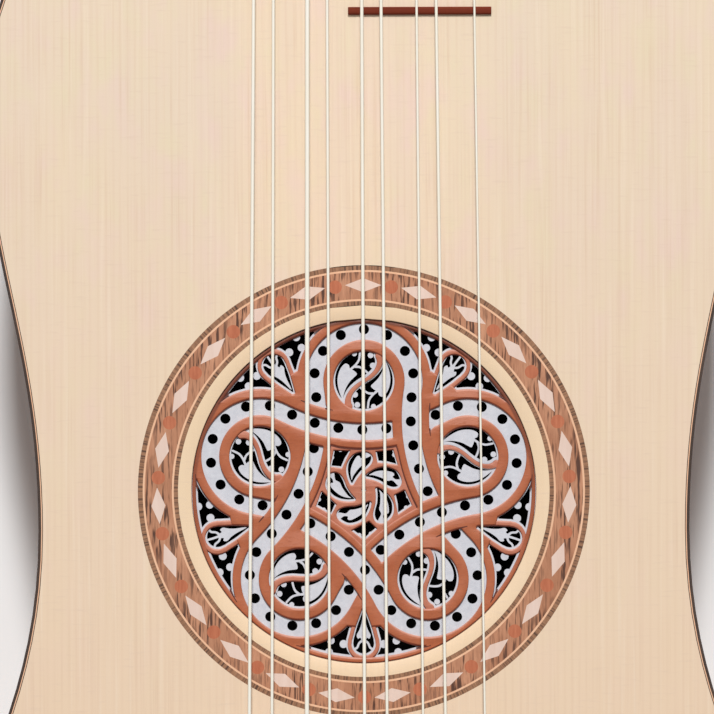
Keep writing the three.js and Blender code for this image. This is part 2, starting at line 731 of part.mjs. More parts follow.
function addNut() {
  const half = neckWidthAtNut / 2;
  const top = nutStringZ + nutShoulder;
  const comb = [[-half, neckTopZ]];
  comb.push([-half, top]);
  stringNames.forEach((name, index) => {
    const x = nutX(index);
    const room = gauge(index) / 2 + gap;
    comb.push([x - room, top], [x - room, nutStringZ - room], [x + room, nutStringZ - room], [x + room, top]);
  });
  comb.push([half, top], [half, neckTopZ]);
  add('nut', prismAlongY(comb, nutY, neckEndY), bone);
}

function addBridge() {
  const treble = bridgeProfileShares.map(([across, up]) => {
    return [(across * bridgeWidth) / 2, bodyDepth + up * bridgeHeight];
  });
  const holes = stringNames.map((name, index) => {
    const radius = (gauge(index) / 2 + tieHoleClearance) / Math.cos(Math.PI / 6);
    return circle(radius, 6, [bridgeX(index), bridgeStringZ]);
  });
  add('bridge', prismAlongY([...treble, ...mirrored(treble)], bridgeBackY, -bridgeToRose, holes), ebony);

  const start = bridgeWidth / 2 + gap;
  const middleY = (bridgeBackY - bridgeToRose) / 2;
  const scroll = (side) => {
    const parts = scrollStrokes.map(({ spineShares, radiusShares }) => {
      const radii = radiusShares.map((share) => share * scrollLength);
      const spine = spineShares.map(([out, along]) => [start + radii[0] + out * (scrollLength - radii[0]),
        middleY + along * scrollLength]);
      return solid(prism(side(stroke(spine, radii, scrollSteps)), bodyDepth, bodyDepth + scrollThickness));
    });
    return surface(parts.reduce((whole, part) => whole.add(part)));
  };
  add('moustache_treble', scroll((points) => points), ebony);
  add('moustache_bass', scroll(mirrored), ebony);
}

function addEndButton() {
  const length = buttonLength;
  const shaftEnd = buttonShaftLength - gap;
  const profile = [[0, -shaftEnd], [buttonShaftRadius, -shaftEnd], [buttonShaftRadius, gap]];
  buttonShares.forEach(([out, along]) => profile.push([out * buttonRadius, gap + along * length]));
  profile.push([0, gap + length]);
  const points = profile.map(([x, y]) => new THREE.Vector2(x, y));
  const button = new THREE.LatheGeometry(points, buttonSides).rotateX(Math.PI);
  const faces = button.translate(0, tailY, bodyDepth / 2).toNonIndexed().attributes.position;
  add('end_button', facingOut(Array.from(faces.array)), ebony);
}

const head = new THREE.Group();
head.position.set(0, headRootY, headRootZ);
head.rotation.x = -headTilt;
head.updateMatrix();
guitar.add(head);

// Five pegs stand in the bass column and four, set between them, in the treble column
const pegPlaces = stringNames.map((name, index) => {
  const bassCount = Math.ceil(stringNames.length / 2);
  const inBass = index < bassCount;
  const order = inBass ? index : stringNames.length - 1 - index + 1 / 2;
  return { side: inBass ? -1 : 1, distance: firstPegDistance + pegPitch * order };
});

function addHead() {
  const treble = headShares.map(([across, along]) => [(across * headWidth) / 2, along * headLength]);
  const outline = [...treble, ...mirrored(treble)];
  const holes = pegPlaces.map(({ side, distance }) => {
    return circle(boreRadius(pegRootRadius, pegSides), pegSides, [side * pegColumnOffset, distance]);
  });
  add('head_veneer', prism(outline, -veneerThickness, 0, holes), ebony, head);
  add('head', prism(outline, headBackZ, -veneerThickness - gap, holes), ribWood, head);
}

function addPeg(name, index) {
  const collarTop = headBackZ - gap;
  const handleTop = collarTop - pegCollarLength;
  const nose = pegNoseRadius;
  const sections = [
    [pegProjection, nose * 3 / 4, nose * 3 / 4],
    [pegProjection - nose / 4, nose, nose],
    [windingHeight, nose, nose],
    [collarTop, pegRootRadius, pegRootRadius],
    [collarTop, pegCollarRadius, pegCollarRadius],
    [handleTop, pegCollarRadius, pegCollarRadius],
  ];
  pegHandleShares.forEach(([down, across, through]) => {
    sections.push([handleTop - down * pegHandleLength, (across * pegHandleWidth) / 2,
      (through * pegHandleThickness) / 2]);
  });
  const rings = sections.map(([z, across, through]) => {
    return circle(1, pegSides).map(([x, y]) => new THREE.Vector3(x * across, y * through, z));
  });
  const peg = add(`peg_${name}`, loft(rings), ebony, head);
  const { side, distance } = pegPlaces[index];
  peg.position.set(side * pegColumnOffset, distance, 0);
  peg.rotation.z = 2 * Math.PI * pegTurnShares[index];
}

// From the stub behind the bridge over the nut to the winding round its peg
function stringPath(index) {
  const radius = gauge(index) / 2;
  const { side, distance } = pegPlaces[index];
  const atBridge = new THREE.Vector3(bridgeX(index), -bridgeToRose, bridgeStringZ);
  const atNut = new THREE.Vector3(nutX(index), nutY, nutStringZ);
  const slope = atNut.clone().sub(atBridge).divideScalar(stringLength);
  const start = atBridge.clone().addScaledVector(slope, -(bridgeLength + stringStub));
  const offNut = new THREE.Vector3(atNut.x + slope.x * nutThickness, neckEndY, nutStringZ);

  const toHead = head.matrix.clone().invert();
  const from = offNut.clone().applyMatrix4(toHead);
  const centre = new THREE.Vector2(side * pegColumnOffset, distance);
  const windingRadius = pegNoseRadius + gap + radius;
  const reach = centre.clone().sub(new THREE.Vector2(from.x, from.y));
  const heading = reach.angle() + side * Math.asin(windingRadius / reach.length());
  const pitch = 2 * radius + windingSpace;
  const steps = Math.round(windingTurns * windingSteps);
  const path = [start, atNut, offNut];
  for (let step = 0; step <= steps; step += 1) {
    const turn = step / windingSteps;
    const angle = heading + side * (Math.PI / 2 - 2 * Math.PI * turn);
    const point = new THREE.Vector3(centre.x + windingRadius * Math.cos(angle),
      centre.y + windingRadius * Math.sin(angle), windingHeight + pitch * turn);
    path.push(point.applyMatrix4(head.matrix));
  }
  const last = path[path.length - 1];
  const tail = last.clone().sub(path[path.length - 2]).normalize();
  path.push(last.clone().addScaledVector(tail, 2 * radius));
  return path;
}

// Least distance between turns of one winding, less the string's own thickness
function leastGap(path, diameter) {
  const winding = path.slice(3);
  let least = Infinity;
  winding.forEach((point, index) => {
    winding.slice(index + windingSteps / 2).forEach((other) => {
      least = Math.min(least, point.distanceTo(other) - diameter);
    });
  });
  return least;
}

function addStrings() {
  const gaps = stringNames.map((name, index) => {
    const path = stringPath(index);
    add(`string_${name}`, loft(threadRings(path, gauge(index) / 2, stringSides, false)), gut);
    return leastGap(path, gauge(index));
  });
  console.log(`String windings: least gap of a winding to itself ${Math.min(...gaps).toFixed(2)} mm`);
}

addBody();
addBlocksAndBars();
addRose();
addNeck();
addNut();
addBridge();
addFrets();
addEndButton();
addHead();
stringNames.forEach(addPeg);
addStrings();

export default guitar;
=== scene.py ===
"""A small five-course baroque guitar lying on a pale table, seen from above its rose."""

import math

import bmesh
import bpy
from mathutils import Matrix, Vector
from mathutils.geometry import delaunay_2d_cdt


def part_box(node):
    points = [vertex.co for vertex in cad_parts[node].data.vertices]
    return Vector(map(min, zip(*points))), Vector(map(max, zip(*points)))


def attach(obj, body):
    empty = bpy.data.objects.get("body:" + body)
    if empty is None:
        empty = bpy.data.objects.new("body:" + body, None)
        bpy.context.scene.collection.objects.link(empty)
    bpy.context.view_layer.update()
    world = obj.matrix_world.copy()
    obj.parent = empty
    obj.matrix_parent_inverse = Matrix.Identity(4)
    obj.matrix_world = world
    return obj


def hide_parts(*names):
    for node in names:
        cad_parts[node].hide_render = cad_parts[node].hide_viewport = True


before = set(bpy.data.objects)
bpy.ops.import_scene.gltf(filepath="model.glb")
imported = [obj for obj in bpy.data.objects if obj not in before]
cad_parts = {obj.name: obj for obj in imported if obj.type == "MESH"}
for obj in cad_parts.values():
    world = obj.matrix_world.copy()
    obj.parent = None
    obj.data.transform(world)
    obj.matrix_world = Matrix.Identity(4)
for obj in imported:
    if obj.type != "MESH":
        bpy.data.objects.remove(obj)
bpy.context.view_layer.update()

bpy.ops.object.select_all(action='DESELECT')

# Lengths are in millimetres until a piece is made
MM = 0.001
TURN = 2 * math.pi

# The guitar's own sizes
BODY_DEPTH = 90
TAIL_Y = -265.5
NECK_JOINT_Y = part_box("fingerboard")[0][1] / MM
NUT_Y = 506.5
NECK_END_Y = 511.3
BRIDGE_FRONT_Y = -183.5
BRIDGE_BACK_Y = -197.5
STRING_LENGTH = 690
BOARD_LOW_Z = 88.2
CHANNEL_Z = 89
NECK_TOP_Z = 87
BACK_THICKNESS = 2.4
RIB_THICKNESS = 2.4
BINDING_WIDTH = 1.2
STRING_Z_AT_BRIDGE = 97
STRING_Z_AT_NUT = 92
STRING_NAMES = ['5a', '5b', '4a', '4b', '3a', '3b', '2a', '2b', '1']
STRING_GAUGES = [0.85, 0.745, 1.12, 0.7, 0.85, 0.777, 0.62, 0.745, 0.546]
NUT_SPREAD = [-1, -0.854, -0.518, -0.373, -0.015, 0.116, 0.481, 0.626, 1]
BRIDGE_SPREAD = [-1, -0.8, -0.51, -0.309, -0.023, 0.179, 0.474, 0.672, 1]
NUT_X = [share * 49 / 2 for share in NUT_SPREAD]
BRIDGE_X = [0.8 + share * 63 / 2 for share in BRIDGE_SPREAD]

# Radii of the rose and of the rings let in round it
OPENING_RADIUS = 44.5
ROSE_RADIUS = 44.35
WHITE_SHEET_RADIUS = 47.5
INNER_HATCH, INNER_LIGHT, BAND_INNER = 47.95, 49.05, 49.55
BAND_OUTER, OUTER_HATCH, RING_OUTER = 56.55, 57.05, 58.3
LOZENGE_CIRCLE = 53.13
INLAY_COUNT = 23


# Finishes

def rgb(red, green, blue):
    """A colour as it looks on a screen, from 0 to 255, as the shader wants it."""
    def linear(value):
        value /= 255
        return value / 12.92 if value <= 0.04045 else ((value + 0.055) / 1.055) ** 2.4
    return (linear(red), linear(green), linear(blue), 1)


class Wire:
    """A value in a finish, which can be used in sums."""

    def __init__(self, finish, socket):
        self.finish = finish
        self.socket = socket

    def __add__(self, other):
        return self.finish.node('ShaderNodeMath', {'operation': 'ADD'}, {0: self, 1: other})

    def __mul__(self, other):
        return self.finish.node('ShaderNodeMath', {'operation': 'MULTIPLY'}, {0: self, 1: other})

    __radd__ = __add__


class Finish:
    """A material made from nodes, with the piece's own coordinates in metres."""

    def __init__(self, name, roughness=0.5, coat=0.0):
        self.material = bpy.data.materials.new(name)
        self.material.use_nodes = True
        self.tree = self.material.node_tree
        self.tree.nodes.clear()
        self.shader = self.tree.nodes.new('ShaderNodeBsdfPrincipled')
        output = self.tree.nodes.new('ShaderNodeOutputMaterial')
        self.tree.links.new(self.shader.outputs[0], output.inputs[0])
        self.shader.inputs['Roughness'].default_value = roughness
        self.shader.inputs['Coat Weight'].default_value = coat
        self.shader.inputs['Coat Roughness'].default_value = 0.25
        self.place = self.node('ShaderNodeTexCoord', output='Object')

    def join(self, value, socket):
        if isinstance(value, Wire):
            self.tree.links.new(value.socket, socket)
        else:
            socket.default_value = value

    def node(self, kind, settings=None, inputs=None, output=0):
        made = self.tree.nodes.new(kind)
        for key, value in (settings or {}).items():
            setattr(made, key, value)
        for key, value in (inputs or {}).items():
            self.join(value, made.inputs[key])
        return Wire(self, made.outputs[output])

    def set(self, name, value):
        self.join(value, self.shader.inputs[name])

    def parts(self):
        """The places across, along and above the guitar."""
        split = self.node('ShaderNodeSeparateXYZ', {}, {0: self.place}).socket.node
        return [Wire(self, part) for part in split.outputs]

    def away(self):
        """How far a place is from the rose's centre, seen from above."""
        flat = self.node('ShaderNodeVectorMath', {'operation': 'MULTIPLY'}, {0: self.place, 1: (1, 1, 0)})
        return self.node('ShaderNodeVectorMath', {'operation': 'LENGTH'}, {0: flat}, output='Value')

    def noise(self, per_metre, detail=2.0, rough=0.5, shift=(0, 0, 0), place=None):
        """Soft noise with so many waves to the metre along each axis."""
        spots = self.node('ShaderNodeMapping', {}, {'Vector': place or self.place, 'Scale': per_metre,
                                                    'Location': shift})
        return self.node('ShaderNodeTexNoise', {}, {'Vector': spots, 'Scale': 1.0, 'Detail': detail,
                                                    'Roughness': rough})

    def step(self, value, low, high):
        """0 below low, 1 above high, and an even rise between them."""
        return self.node('ShaderNodeMapRange', {}, {'Value': value, 'From Min': low, 'From Max': high})

    def patches(self, low, high, *noise, **place):
        """Soft patches, where the noise lies above low."""
        return self.step(self.noise(*noise, **place), low, high)

    def mix(self, share, first, second):
        return self.node('ShaderNodeMix', {'data_type': 'RGBA'}, {0: share, 6: first, 7: second}, output=2)

    def done(self, shade, roughness, relief=None, depth=0.0, strength=0.0):
        """Sets the colour and the roughness, with relief where there is any, and gives the material."""
        self.set('Base Color', shade)
        self.set('Roughness', roughness)
        if relief:
            self.set('Normal', self.node('ShaderNodeBump', {}, {'Height': relief, 'Distance': depth,
                                                                'Strength': strength}))
        return self.material


def along(axis, across_waves, length_waves):
    """Waves to the metre for a grain that runs along one axis."""
    waves = [across_waves] * 3
    waves[axis] = length_waves
    return tuple(waves)


# Distances in metres at which a finish changes
GRAIN_SPACING = 0.00191
RING_EDGE = 0.0488, 0.0482
BAND_EDGE = 0.0538, 0.0562
# ROSE_EDGE bounds the painted shadow on the rose's rim
ROSE_EDGE = 0.0431, 0.0436
# How deep a finish's relief is, in metres
PORE_DEPTH = 0.00008


def spruce_finish():
    """Fine straight grain along the strings, with faint streaks and cross silk, warmer towards the bridge."""
    finish = Finish('spruce', 0.55)
    streaks = finish.patches(0.35, 0.65, (85, 14, 20), 3, 0.6)
    ground = finish.mix(streaks * 0.6, rgb(238, 216, 186), rgb(236, 211, 192))
    clouds = finish.patches(0.35, 0.7, (28, 22, 20), 2, 0.5, (3, 1, 0))
    ground = finish.mix(clouds * 0.45, ground, rgb(235, 215, 193))
    rosy = finish.patches(0.5, 0.72, (110, 55, 20), 2, 0.6, (6, 4, 1))
    ground = finish.mix(rosy * 0.7, ground, rgb(238, 209, 196))
    straw = finish.patches(0.52, 0.74, (120, 60, 20), 2, 0.6, (2, 8, 6))
    ground = finish.mix(straw * 0.7, ground, rgb(235, 218, 184))
    across, upward, _ = finish.parts()
    near_bridge = finish.step(upward, 0.1, -0.08)
    ground = finish.mix(near_bridge, ground, rgb(240, 211, 181))
    rings = finish.patches(0.52, 0.72, (1250, 16, 40), 2, 0.7, (0, 2, 5))
    fading = finish.patches(0.3, 0.7, (120, 45, 20), 2, 0.5, (7, 0, 0))
    ground = finish.mix(rings * fading * 0.45, ground, rgb(219, 187, 158))
    turns = across * (TURN / GRAIN_SPACING) + finish.noise((38, 2, 20), 2, 0.5, (8, 3, 0)) * 16
    growth = finish.step(finish.node('ShaderNodeMath', {'operation': 'SINE'}, {0: turns}), 0.2, 1)
    ground = finish.mix(growth * (fading * 0.14 + 0.08), ground, rgb(222, 190, 162))
    pale = finish.patches(0.56, 0.74, (850, 18, 40), 2, 0.6, (1, 9, 2))
    ground = finish.mix(pale * 0.35, ground, rgb(248, 228, 204))
    inside_ring = finish.step(finish.away(), *RING_EDGE)
    ground = finish.mix(inside_ring * 0.7, ground, rgb(244, 214, 176))
    silk = finish.noise((160, 1100, 90), 2, 0.6, (4, 4, 4))
    ground = finish.mix(finish.step(silk, 0.58, 0.78) * 0.35, ground, rgb(224, 198, 176))
    return finish.done(ground, 0.5 + rings * 0.12, rings * -0.5 + silk * 0.3, 0.00006, 0.5)


def wood_finish(name, ground, dark, light, axis=1, waves=(420, 9), pores=0.5, roughness=0.42, coat=0.15,
                figure=0.3, bent=False, shine=0.5):
    """A close-grained wood: streaks, darker pores and a slow figure along one axis, or round a bent piece."""
    finish = Finish(name, roughness, coat)
    finish.set('Specular IOR Level', shine)
    if bent:
        run = finish.node('ShaderNodeAttribute', {'attribute_name': 'run'}, output='Fac')
        finish.place = finish.node('ShaderNodeCombineXYZ', {}, {0: run, 1: 0.0, 2: finish.parts()[2]})
    across, length = waves
    streaks = finish.noise(along(axis, across, length), 4, 0.65)
    shade = finish.mix(finish.step(streaks, 0.38, 0.66), ground, light)
    lines = finish.patches(0.56, 0.72, along(axis, across * 2.4, length * 2.2), 2, 0.6, (3, 5, 7))
    shade = finish.mix(lines * pores, shade, dark)
    waver = finish.patches(0.4, 0.68, along(axis, across * 0.12, length * 1.4), 3, 0.55, (9, 2, 4))
    shade = finish.mix(waver * figure, shade, dark)
    return finish.done(shade, roughness + lines * 0.15 + streaks * 0.08, lines * -1, PORE_DEPTH, 0.6)


def walnut_finish():
    """The ring's wood: warm brown with short dark pores along the strings' direction."""
    finish = Finish('walnut', 0.5)
    tone = finish.patches(0.32, 0.68, (140, 55, 60), 3, 0.6)
    shade = finish.mix(tone, rgb(184, 125, 92), rgb(208, 150, 116))
    fibres = finish.patches(0.42, 0.68, (1400, 130, 200), 3, 0.7, (2, 1, 0))
    shade = finish.mix(fibres * 0.5, shade, rgb(152, 96, 66))
    rim = finish.step(finish.away(), *BAND_EDGE)
    pores = finish.step(finish.noise((1400, 110, 300), 2, 0.6, (5, 8, 1)) + rim * 0.05, 0.53, 0.62)
    patches = finish.patches(0.4, 0.56, (150, 55, 40), 2, 0.5, (1, 7, 3))
    shade = finish.mix(pores * (patches * 0.6 + 0.35), shade, rgb(78, 45, 30))
    return finish.done(shade, 0.48 + fibres * 0.15, pores * -1, PORE_DEPTH, 0.6)


def hatch_finish():
    """A brown line with dark dashes across it, one after another round the ring."""
    finish = Finish('hatched line', 0.5)
    across, upward, _ = finish.parts()
    angle = finish.node('ShaderNodeMath', {'operation': 'ARCTAN2'}, {0: upward, 1: across})
    round_ring = finish.node('ShaderNodeCombineXYZ', {}, {0: angle, 1: 0.0, 2: 0.0})
    dashes = finish.patches(0.47, 0.57, (88, 1, 1), 2, 0.6, place=round_ring)
    gathered = finish.patches(0.42, 0.55, (9, 1, 1), 1, 0.5, (4, 0, 0), place=round_ring)
    shade = finish.mix(finish.noise((1100, 200, 100), 2), rgb(186, 138, 104), rgb(132, 88, 60))
    shade = finish.mix(dashes * (gathered * 0.45 + 0.4), shade, rgb(66, 40, 27))
    return finish.done(shade, 0.45 + dashes * 0.2)


def plain_wood_finish(name, ground, other, waves=(420, 60, 90)):
    """A pale or reddish inlay wood with little grain."""
    finish = Finish(name, 0.5)
    streaks = finish.noise(waves, 3, 0.6)
    shade = finish.mix(finish.step(streaks, 0.3, 0.7), ground, other)
    return finish.done(shade, 0.5 + streaks * 0.1, streaks, 0.00004, 0.4)


def pear_finish(name, ground, other, dark):
    """The rose's pear wood: reddish, even, with short fine streaks. Its cut edges get a painted highlight on
    the side towards the head and painted shade on the side towards the bridge."""
    finish = Finish(name, 0.5)
    tone = finish.patches(0.3, 0.7, (170, 130, 90), 3, 0.6)
    shade = finish.mix(tone, ground, other)
    streaks = finish.patches(0.5, 0.75, (520, 1300, 200), 3, 0.65, (6, 2, 3))
    shade = finish.mix(streaks * 0.4, shade, dark)
    # Painted highlight on cut edges facing the head, where the window lights them, and painted shade on those
    # facing the bridge
    edge = finish.node('ShaderNodeAttribute', {'attribute_name': 'edge'}, output='Fac')
    shade = finish.mix(finish.step(edge, 0.15, 0.75) * 0.8, shade, rgb(226, 168, 148))
    shade = finish.mix(finish.step(edge, -0.05, -0.4) * 0.9, shade, rgb(120, 46, 24))
    # Painted shadow of the soundboard's edge on the rose's rim, on the head side
    rim = finish.step(finish.away(), *ROSE_EDGE) * finish.step(finish.parts()[1], -0.03, 0.025)
    shade = finish.mix(rim * 0.75, shade, rgb(92, 42, 26))
    return finish.done(shade, 0.45 + streaks * 0.2, streaks, 0.00005, 0.4)


def parchment_finish():
    """Cool white skin with a faint mottle."""
    finish = Finish('parchment', 0.7)
    mottle = finish.patches(0.3, 0.7, (700, 700, 300), 4, 0.7)
    shade = finish.mix(mottle, rgb(202, 203, 211), rgb(219, 220, 226))
    return finish.done(shade, 0.62 + mottle * 0.15, mottle, 0.00005, 0.4)


def bone_finish():
    finish = Finish('bone', 0.32, 0.2)
    cloud = finish.noise((300, 90, 90), 3, 0.6)
    shade = finish.mix(finish.step(cloud, 0.3, 0.7), rgb(240, 231, 208), rgb(228, 214, 184))
    return finish.done(shade, 0.28 + cloud * 0.12, cloud, 0.00003, 0.3)


def gut_finish():
    """Cream gut with a soft gloss and small lengthwise changes of tone."""
    finish = Finish('gut', 0.38, 0.3)
    tone = finish.noise((500, 60, 500), 3, 0.6)
    shade = finish.mix(finish.step(tone, 0.3, 0.7), rgb(255, 251, 239), rgb(253, 246, 228))
    return finish.done(shade, 0.34 + tone * 0.12, tone, 0.00004, 0.4)


def painted_shade_inside_finish():
    """Near-black painted shade for the back's inside face, which the rose's openings show."""
    finish = Finish('painted shade inside', 0.9)
    tone = finish.noise((200, 20, 60), 2)
    return finish.done(finish.mix(tone, rgb(8, 7, 7), rgb(16, 13, 12)), 0.85 + tone * 0.1)


RIB_TONES = (rgb(150, 98, 64), rgb(104, 62, 38), rgb(176, 122, 84))
FINISHES = {
    'spruce': spruce_finish(),
    'ribs': wood_finish('rib wood', *RIB_TONES, axis=0, waves=(300, 5), pores=0.45, figure=0.35, bent=True),
    'back': wood_finish('back wood', *RIB_TONES, axis=1, waves=(300, 5), pores=0.45, figure=0.35),
    'neck': wood_finish('neck wood', rgb(140, 90, 58), rgb(92, 54, 34), rgb(166, 112, 76), figure=0.25),
    'binding': wood_finish('dyed binding', rgb(62, 44, 35), rgb(36, 25, 20), rgb(82, 60, 48)),
    'walnut': walnut_finish(),
    'hatch': hatch_finish(),
    'light line': plain_wood_finish('light line', rgb(245, 196, 160), rgb(236, 182, 144)),
    'lozenge': plain_wood_finish('lozenge', rgb(238, 212, 198), rgb(228, 198, 181)),
    'red dot': plain_wood_finish('red dot', rgb(200, 118, 82), rgb(180, 98, 64), (1500, 160, 200)),
    'pear': pear_finish('pear', rgb(176, 94, 58), rgb(190, 110, 74), rgb(152, 78, 47)),
    'pale pear': pear_finish('pale pear', rgb(186, 108, 80), rgb(200, 128, 102), rgb(160, 90, 64)),
    # This dark wood also colours the painted shadow strip round the rose's middle
    'scored wood and painted shadow': plain_wood_finish('scored wood and painted shadow', rgb(106, 45, 28), rgb(84, 35, 22)),
    'parchment': parchment_finish(),
    'ebony': wood_finish('ebony', rgb(40, 31, 27), rgb(22, 17, 15), rgb(58, 43, 34), pores=0.6,
                         roughness=0.3, coat=0.25, figure=0.4),
    'body fret': wood_finish('body fret wood', rgb(116, 48, 31), rgb(86, 31, 18), rgb(130, 58, 38), axis=0,
                             roughness=0.65, coat=0.0, shine=0.1),
    'bone': bone_finish(),
    'gut': gut_finish(),
    'pine': wood_finish('pine', rgb(222, 196, 156), rgb(190, 156, 112), rgb(232, 210, 174), axis=0,
                        roughness=0.65, coat=0.0, pores=0.35),
    'inside': painted_shade_inside_finish(),
}


# Ways to shape a piece

def rest():
    """Leaves a piece that is being worked on and picks nothing."""
    if bpy.context.mode != 'OBJECT':
        bpy.ops.object.mode_set(mode='OBJECT')
    bpy.ops.object.select_all(action='DESELECT')


def hold(piece):
    """Picks one piece to work on."""
    rest()
    piece.select_set(True)
    bpy.context.view_layer.objects.active = piece


def ready(piece, finish, nodes, body='root', smooth=35):
    """Gives a shaped piece its finish, its smooth faces, and its place in the guitar."""
    hold(piece)
    piece.data.materials.clear()
    piece.data.materials.append(FINISHES[finish])
    bpy.ops.object.shade_smooth_by_angle(angle=math.radians(smooth))
    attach(piece, body)
    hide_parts(*nodes)


def drawn_through(name, rings, hollow=False):
    """A skin drawn from one ring of points to the next. A hollow one closes on its first ring."""
    rest()
    bpy.ops.mesh.primitive_circle_add(vertices=len(rings[0]), fill_type='NOTHING' if hollow else 'NGON',
                                      enter_editmode=True)
    piece = bpy.context.object
    piece.name = name
    bpy.ops.mesh.select_mode(type='VERT')
    bpy.ops.mesh.select_all(action='SELECT')
    mesh = bmesh.from_edit_mesh(piece.data)
    places = {}
    for index, vert in enumerate(mesh.verts):
        vert.co = Vector(rings[0][index]) * MM
        places[tuple(vert.co)] = index
    extrude = bpy.ops.mesh.extrude_edges_move if hollow else bpy.ops.mesh.extrude_region_move
    for spots in rings[1:]:
        extrude()
        mesh = bmesh.from_edit_mesh(piece.data)
        moved = {}
        for vert in mesh.verts:
            if vert.select:
                index = places[tuple(vert.co)]
                vert.co = Vector(spots[index]) * MM
                moved[tuple(vert.co)] = index
        places = moved
    if hollow:
        bpy.ops.mesh.select_all(action='DESELECT')
        bpy.ops.mesh.select_non_manifold()
        bpy.ops.mesh.bridge_edge_loops()
    bpy.ops.mesh.select_all(action='SELECT')
    bpy.ops.mesh.normals_make_consistent(inside=False)
    bpy.ops.object.mode_set(mode='OBJECT')
    return piece


def ease(piece, width, segments, angle):
    """Rounds a piece's sharp edges."""
    hold(piece)
    bpy.ops.object.modifier_add(type='BEVEL')
    bevel = piece.modifiers[-1]
    bevel.width = width * MM
    bevel.segments = segments
    bevel.limit_method = 'ANGLE'
    bevel.angle_limit = math.radians(angle)
    bpy.ops.object.modifier_apply(modifier=bevel.name)
    return piece


def drill(piece, tool):
    """Cuts the tool's shape out of a piece and puts the tool away."""
    hold(piece)
    bpy.ops.object.modifier_add(type='BOOLEAN')
    cut = piece.modifiers[-1]
    cut.operation = 'DIFFERENCE'
    cut.object = tool
    bpy.ops.object.modifier_apply(modifier=cut.name)
    bpy.data.objects.remove(tool)


# A sheet is drawn in X and Y; these stand it up so that its thickness lies along another axis
FLAT = Matrix.Identity(4)
ALONG_Y = Matrix(((1, 0, 0, 0), (0, 0, -1, 0), (0, 1, 0, 0), (0, 0, 0, 1)))
ALONG_X = Matrix(((0, 0, 1, 0), (1, 0, 0, 0), (0, 1, 0, 0), (0, 0, 0, 1)))


def as_mesh(name, drawing, gap, place=FLAT):
    """Turns a drawn curve into a mesh and joins the points that fall together."""
    piece = bpy.data.objects.new(name, drawing)
    bpy.context.collection.objects.link(piece)
    hold(piece)
    bpy.ops.object.convert(target='MESH')
    piece = bpy.context.object
    piece.data.transform(place)
    bpy.ops.object.mode_set(mode='EDIT')
    bpy.ops.mesh.select_all(action='SELECT')
    bpy.ops.mesh.remove_doubles(threshold=gap)
    bpy.ops.mesh.normals_make_consistent(inside=False)
    bpy.ops.object.mode_set(mode='OBJECT')
    return piece


def sheet(name, loops, low, high, rounding=0.0, stand=FLAT):
    """A plate sawn out along closed outlines, with its edges rounded."""
    drawing = bpy.data.curves.new(name, 'CURVE')
    drawing.dimensions = '2D'
    drawing.fill_mode = 'BOTH'
    drawing.extrude = ((high - low) / 2 - rounding) * MM
    drawing.bevel_depth = rounding * MM
    drawing.bevel_resolution = 1
    drawing.offset = -rounding * MM
    for loop in loops:
        line = drawing.splines.new('POLY')
        line.points.add(len(loop) - 1)
        for point, (x, y) in zip(line.points, loop):
            point.co = (x * MM, y * MM, 0, 1)
        line.use_cyclic_u = True
    return as_mesh(name, drawing, 1e-6, stand @ Matrix.Translation((0, 0, (low + high) / 2 * MM)))


def thread(name, points, radius, closed=False):
    """A round thread laid along points."""
    drawing = bpy.data.curves.new(name, 'CURVE')
    drawing.dimensions = '3D'
    drawing.bevel_depth = radius * MM
    drawing.bevel_resolution = 3
    drawing.use_fill_caps = True
    line = drawing.splines.new('POLY')
    line.points.add(len(points) - 1)
    for point, (x, y, z) in zip(line.points, points):
        point.co = (x * MM, y * MM, z * MM, 1)
    line.use_cyclic_u = closed
    return as_mesh(name, drawing, 1e-7)


def as_one(name, pieces):
    """Joins pieces into one."""
    hold(pieces[0])
    for piece in pieces[1:]:
        piece.select_set(True)
    bpy.ops.object.join()
    whole = bpy.context.object
    whole.name = name
    return whole


# Drawing on the flat

def circle(radius, steps=96, centre=(0, 0)):
    return [(centre[0] + radius * math.cos(TURN * step / steps),
             centre[1] + radius * math.sin(TURN * step / steps)) for step in range(steps)]


def at(radius, degrees):
    """The spot at a distance from the centre, in a direction counted from the treble side."""
    return Vector((radius * math.cos(math.radians(degrees)), radius * math.sin(math.radians(degrees))))


def arc(centre, radius, start, end, steps):
    return [tuple(centre + at(radius, start + (end - start) * step / steps)) for step in range(steps + 1)]


def turned(points, degrees, centre=(0, 0)):
    """Points turned about the origin, then moved to a centre."""
    cosine, sine = math.cos(math.radians(degrees)), math.sin(math.radians(degrees))
    return [(x * cosine - y * sine + centre[0], x * sine + y * cosine + centre[1]) for x, y in points]


def mirrored(points):
    """The other half of an outline, from its last point back to its first."""
    return [(-x, y) for x, y in reversed(points)]


def smooth(points, steps=5, closed=False):
    """A smooth line through points."""
    count = len(points)
    spots = [Vector(point) for point in points]
    line = []
    for index in range(count if closed else count - 1):
        if closed:
            before, near, far, after = (spots[(index + shift) % count] for shift in (-1, 0, 1, 2))
        else:
            near, far = spots[index], spots[index + 1]
            before = spots[index - 1] if index else near * 2 - far
            after = spots[index + 2] if index + 2 < count else far * 2 - near
        for step in range(steps):
            t = step / steps
            line.append(tuple(0.5 * (2 * near + (far - before) * t
                                     + (2 * before - 5 * near + 4 * far - after) * t * t
                                     + (3 * near - before - 3 * far + after) * t ** 3)))
    if not closed:
        line.append(tuple(spots[-1]))
    return line


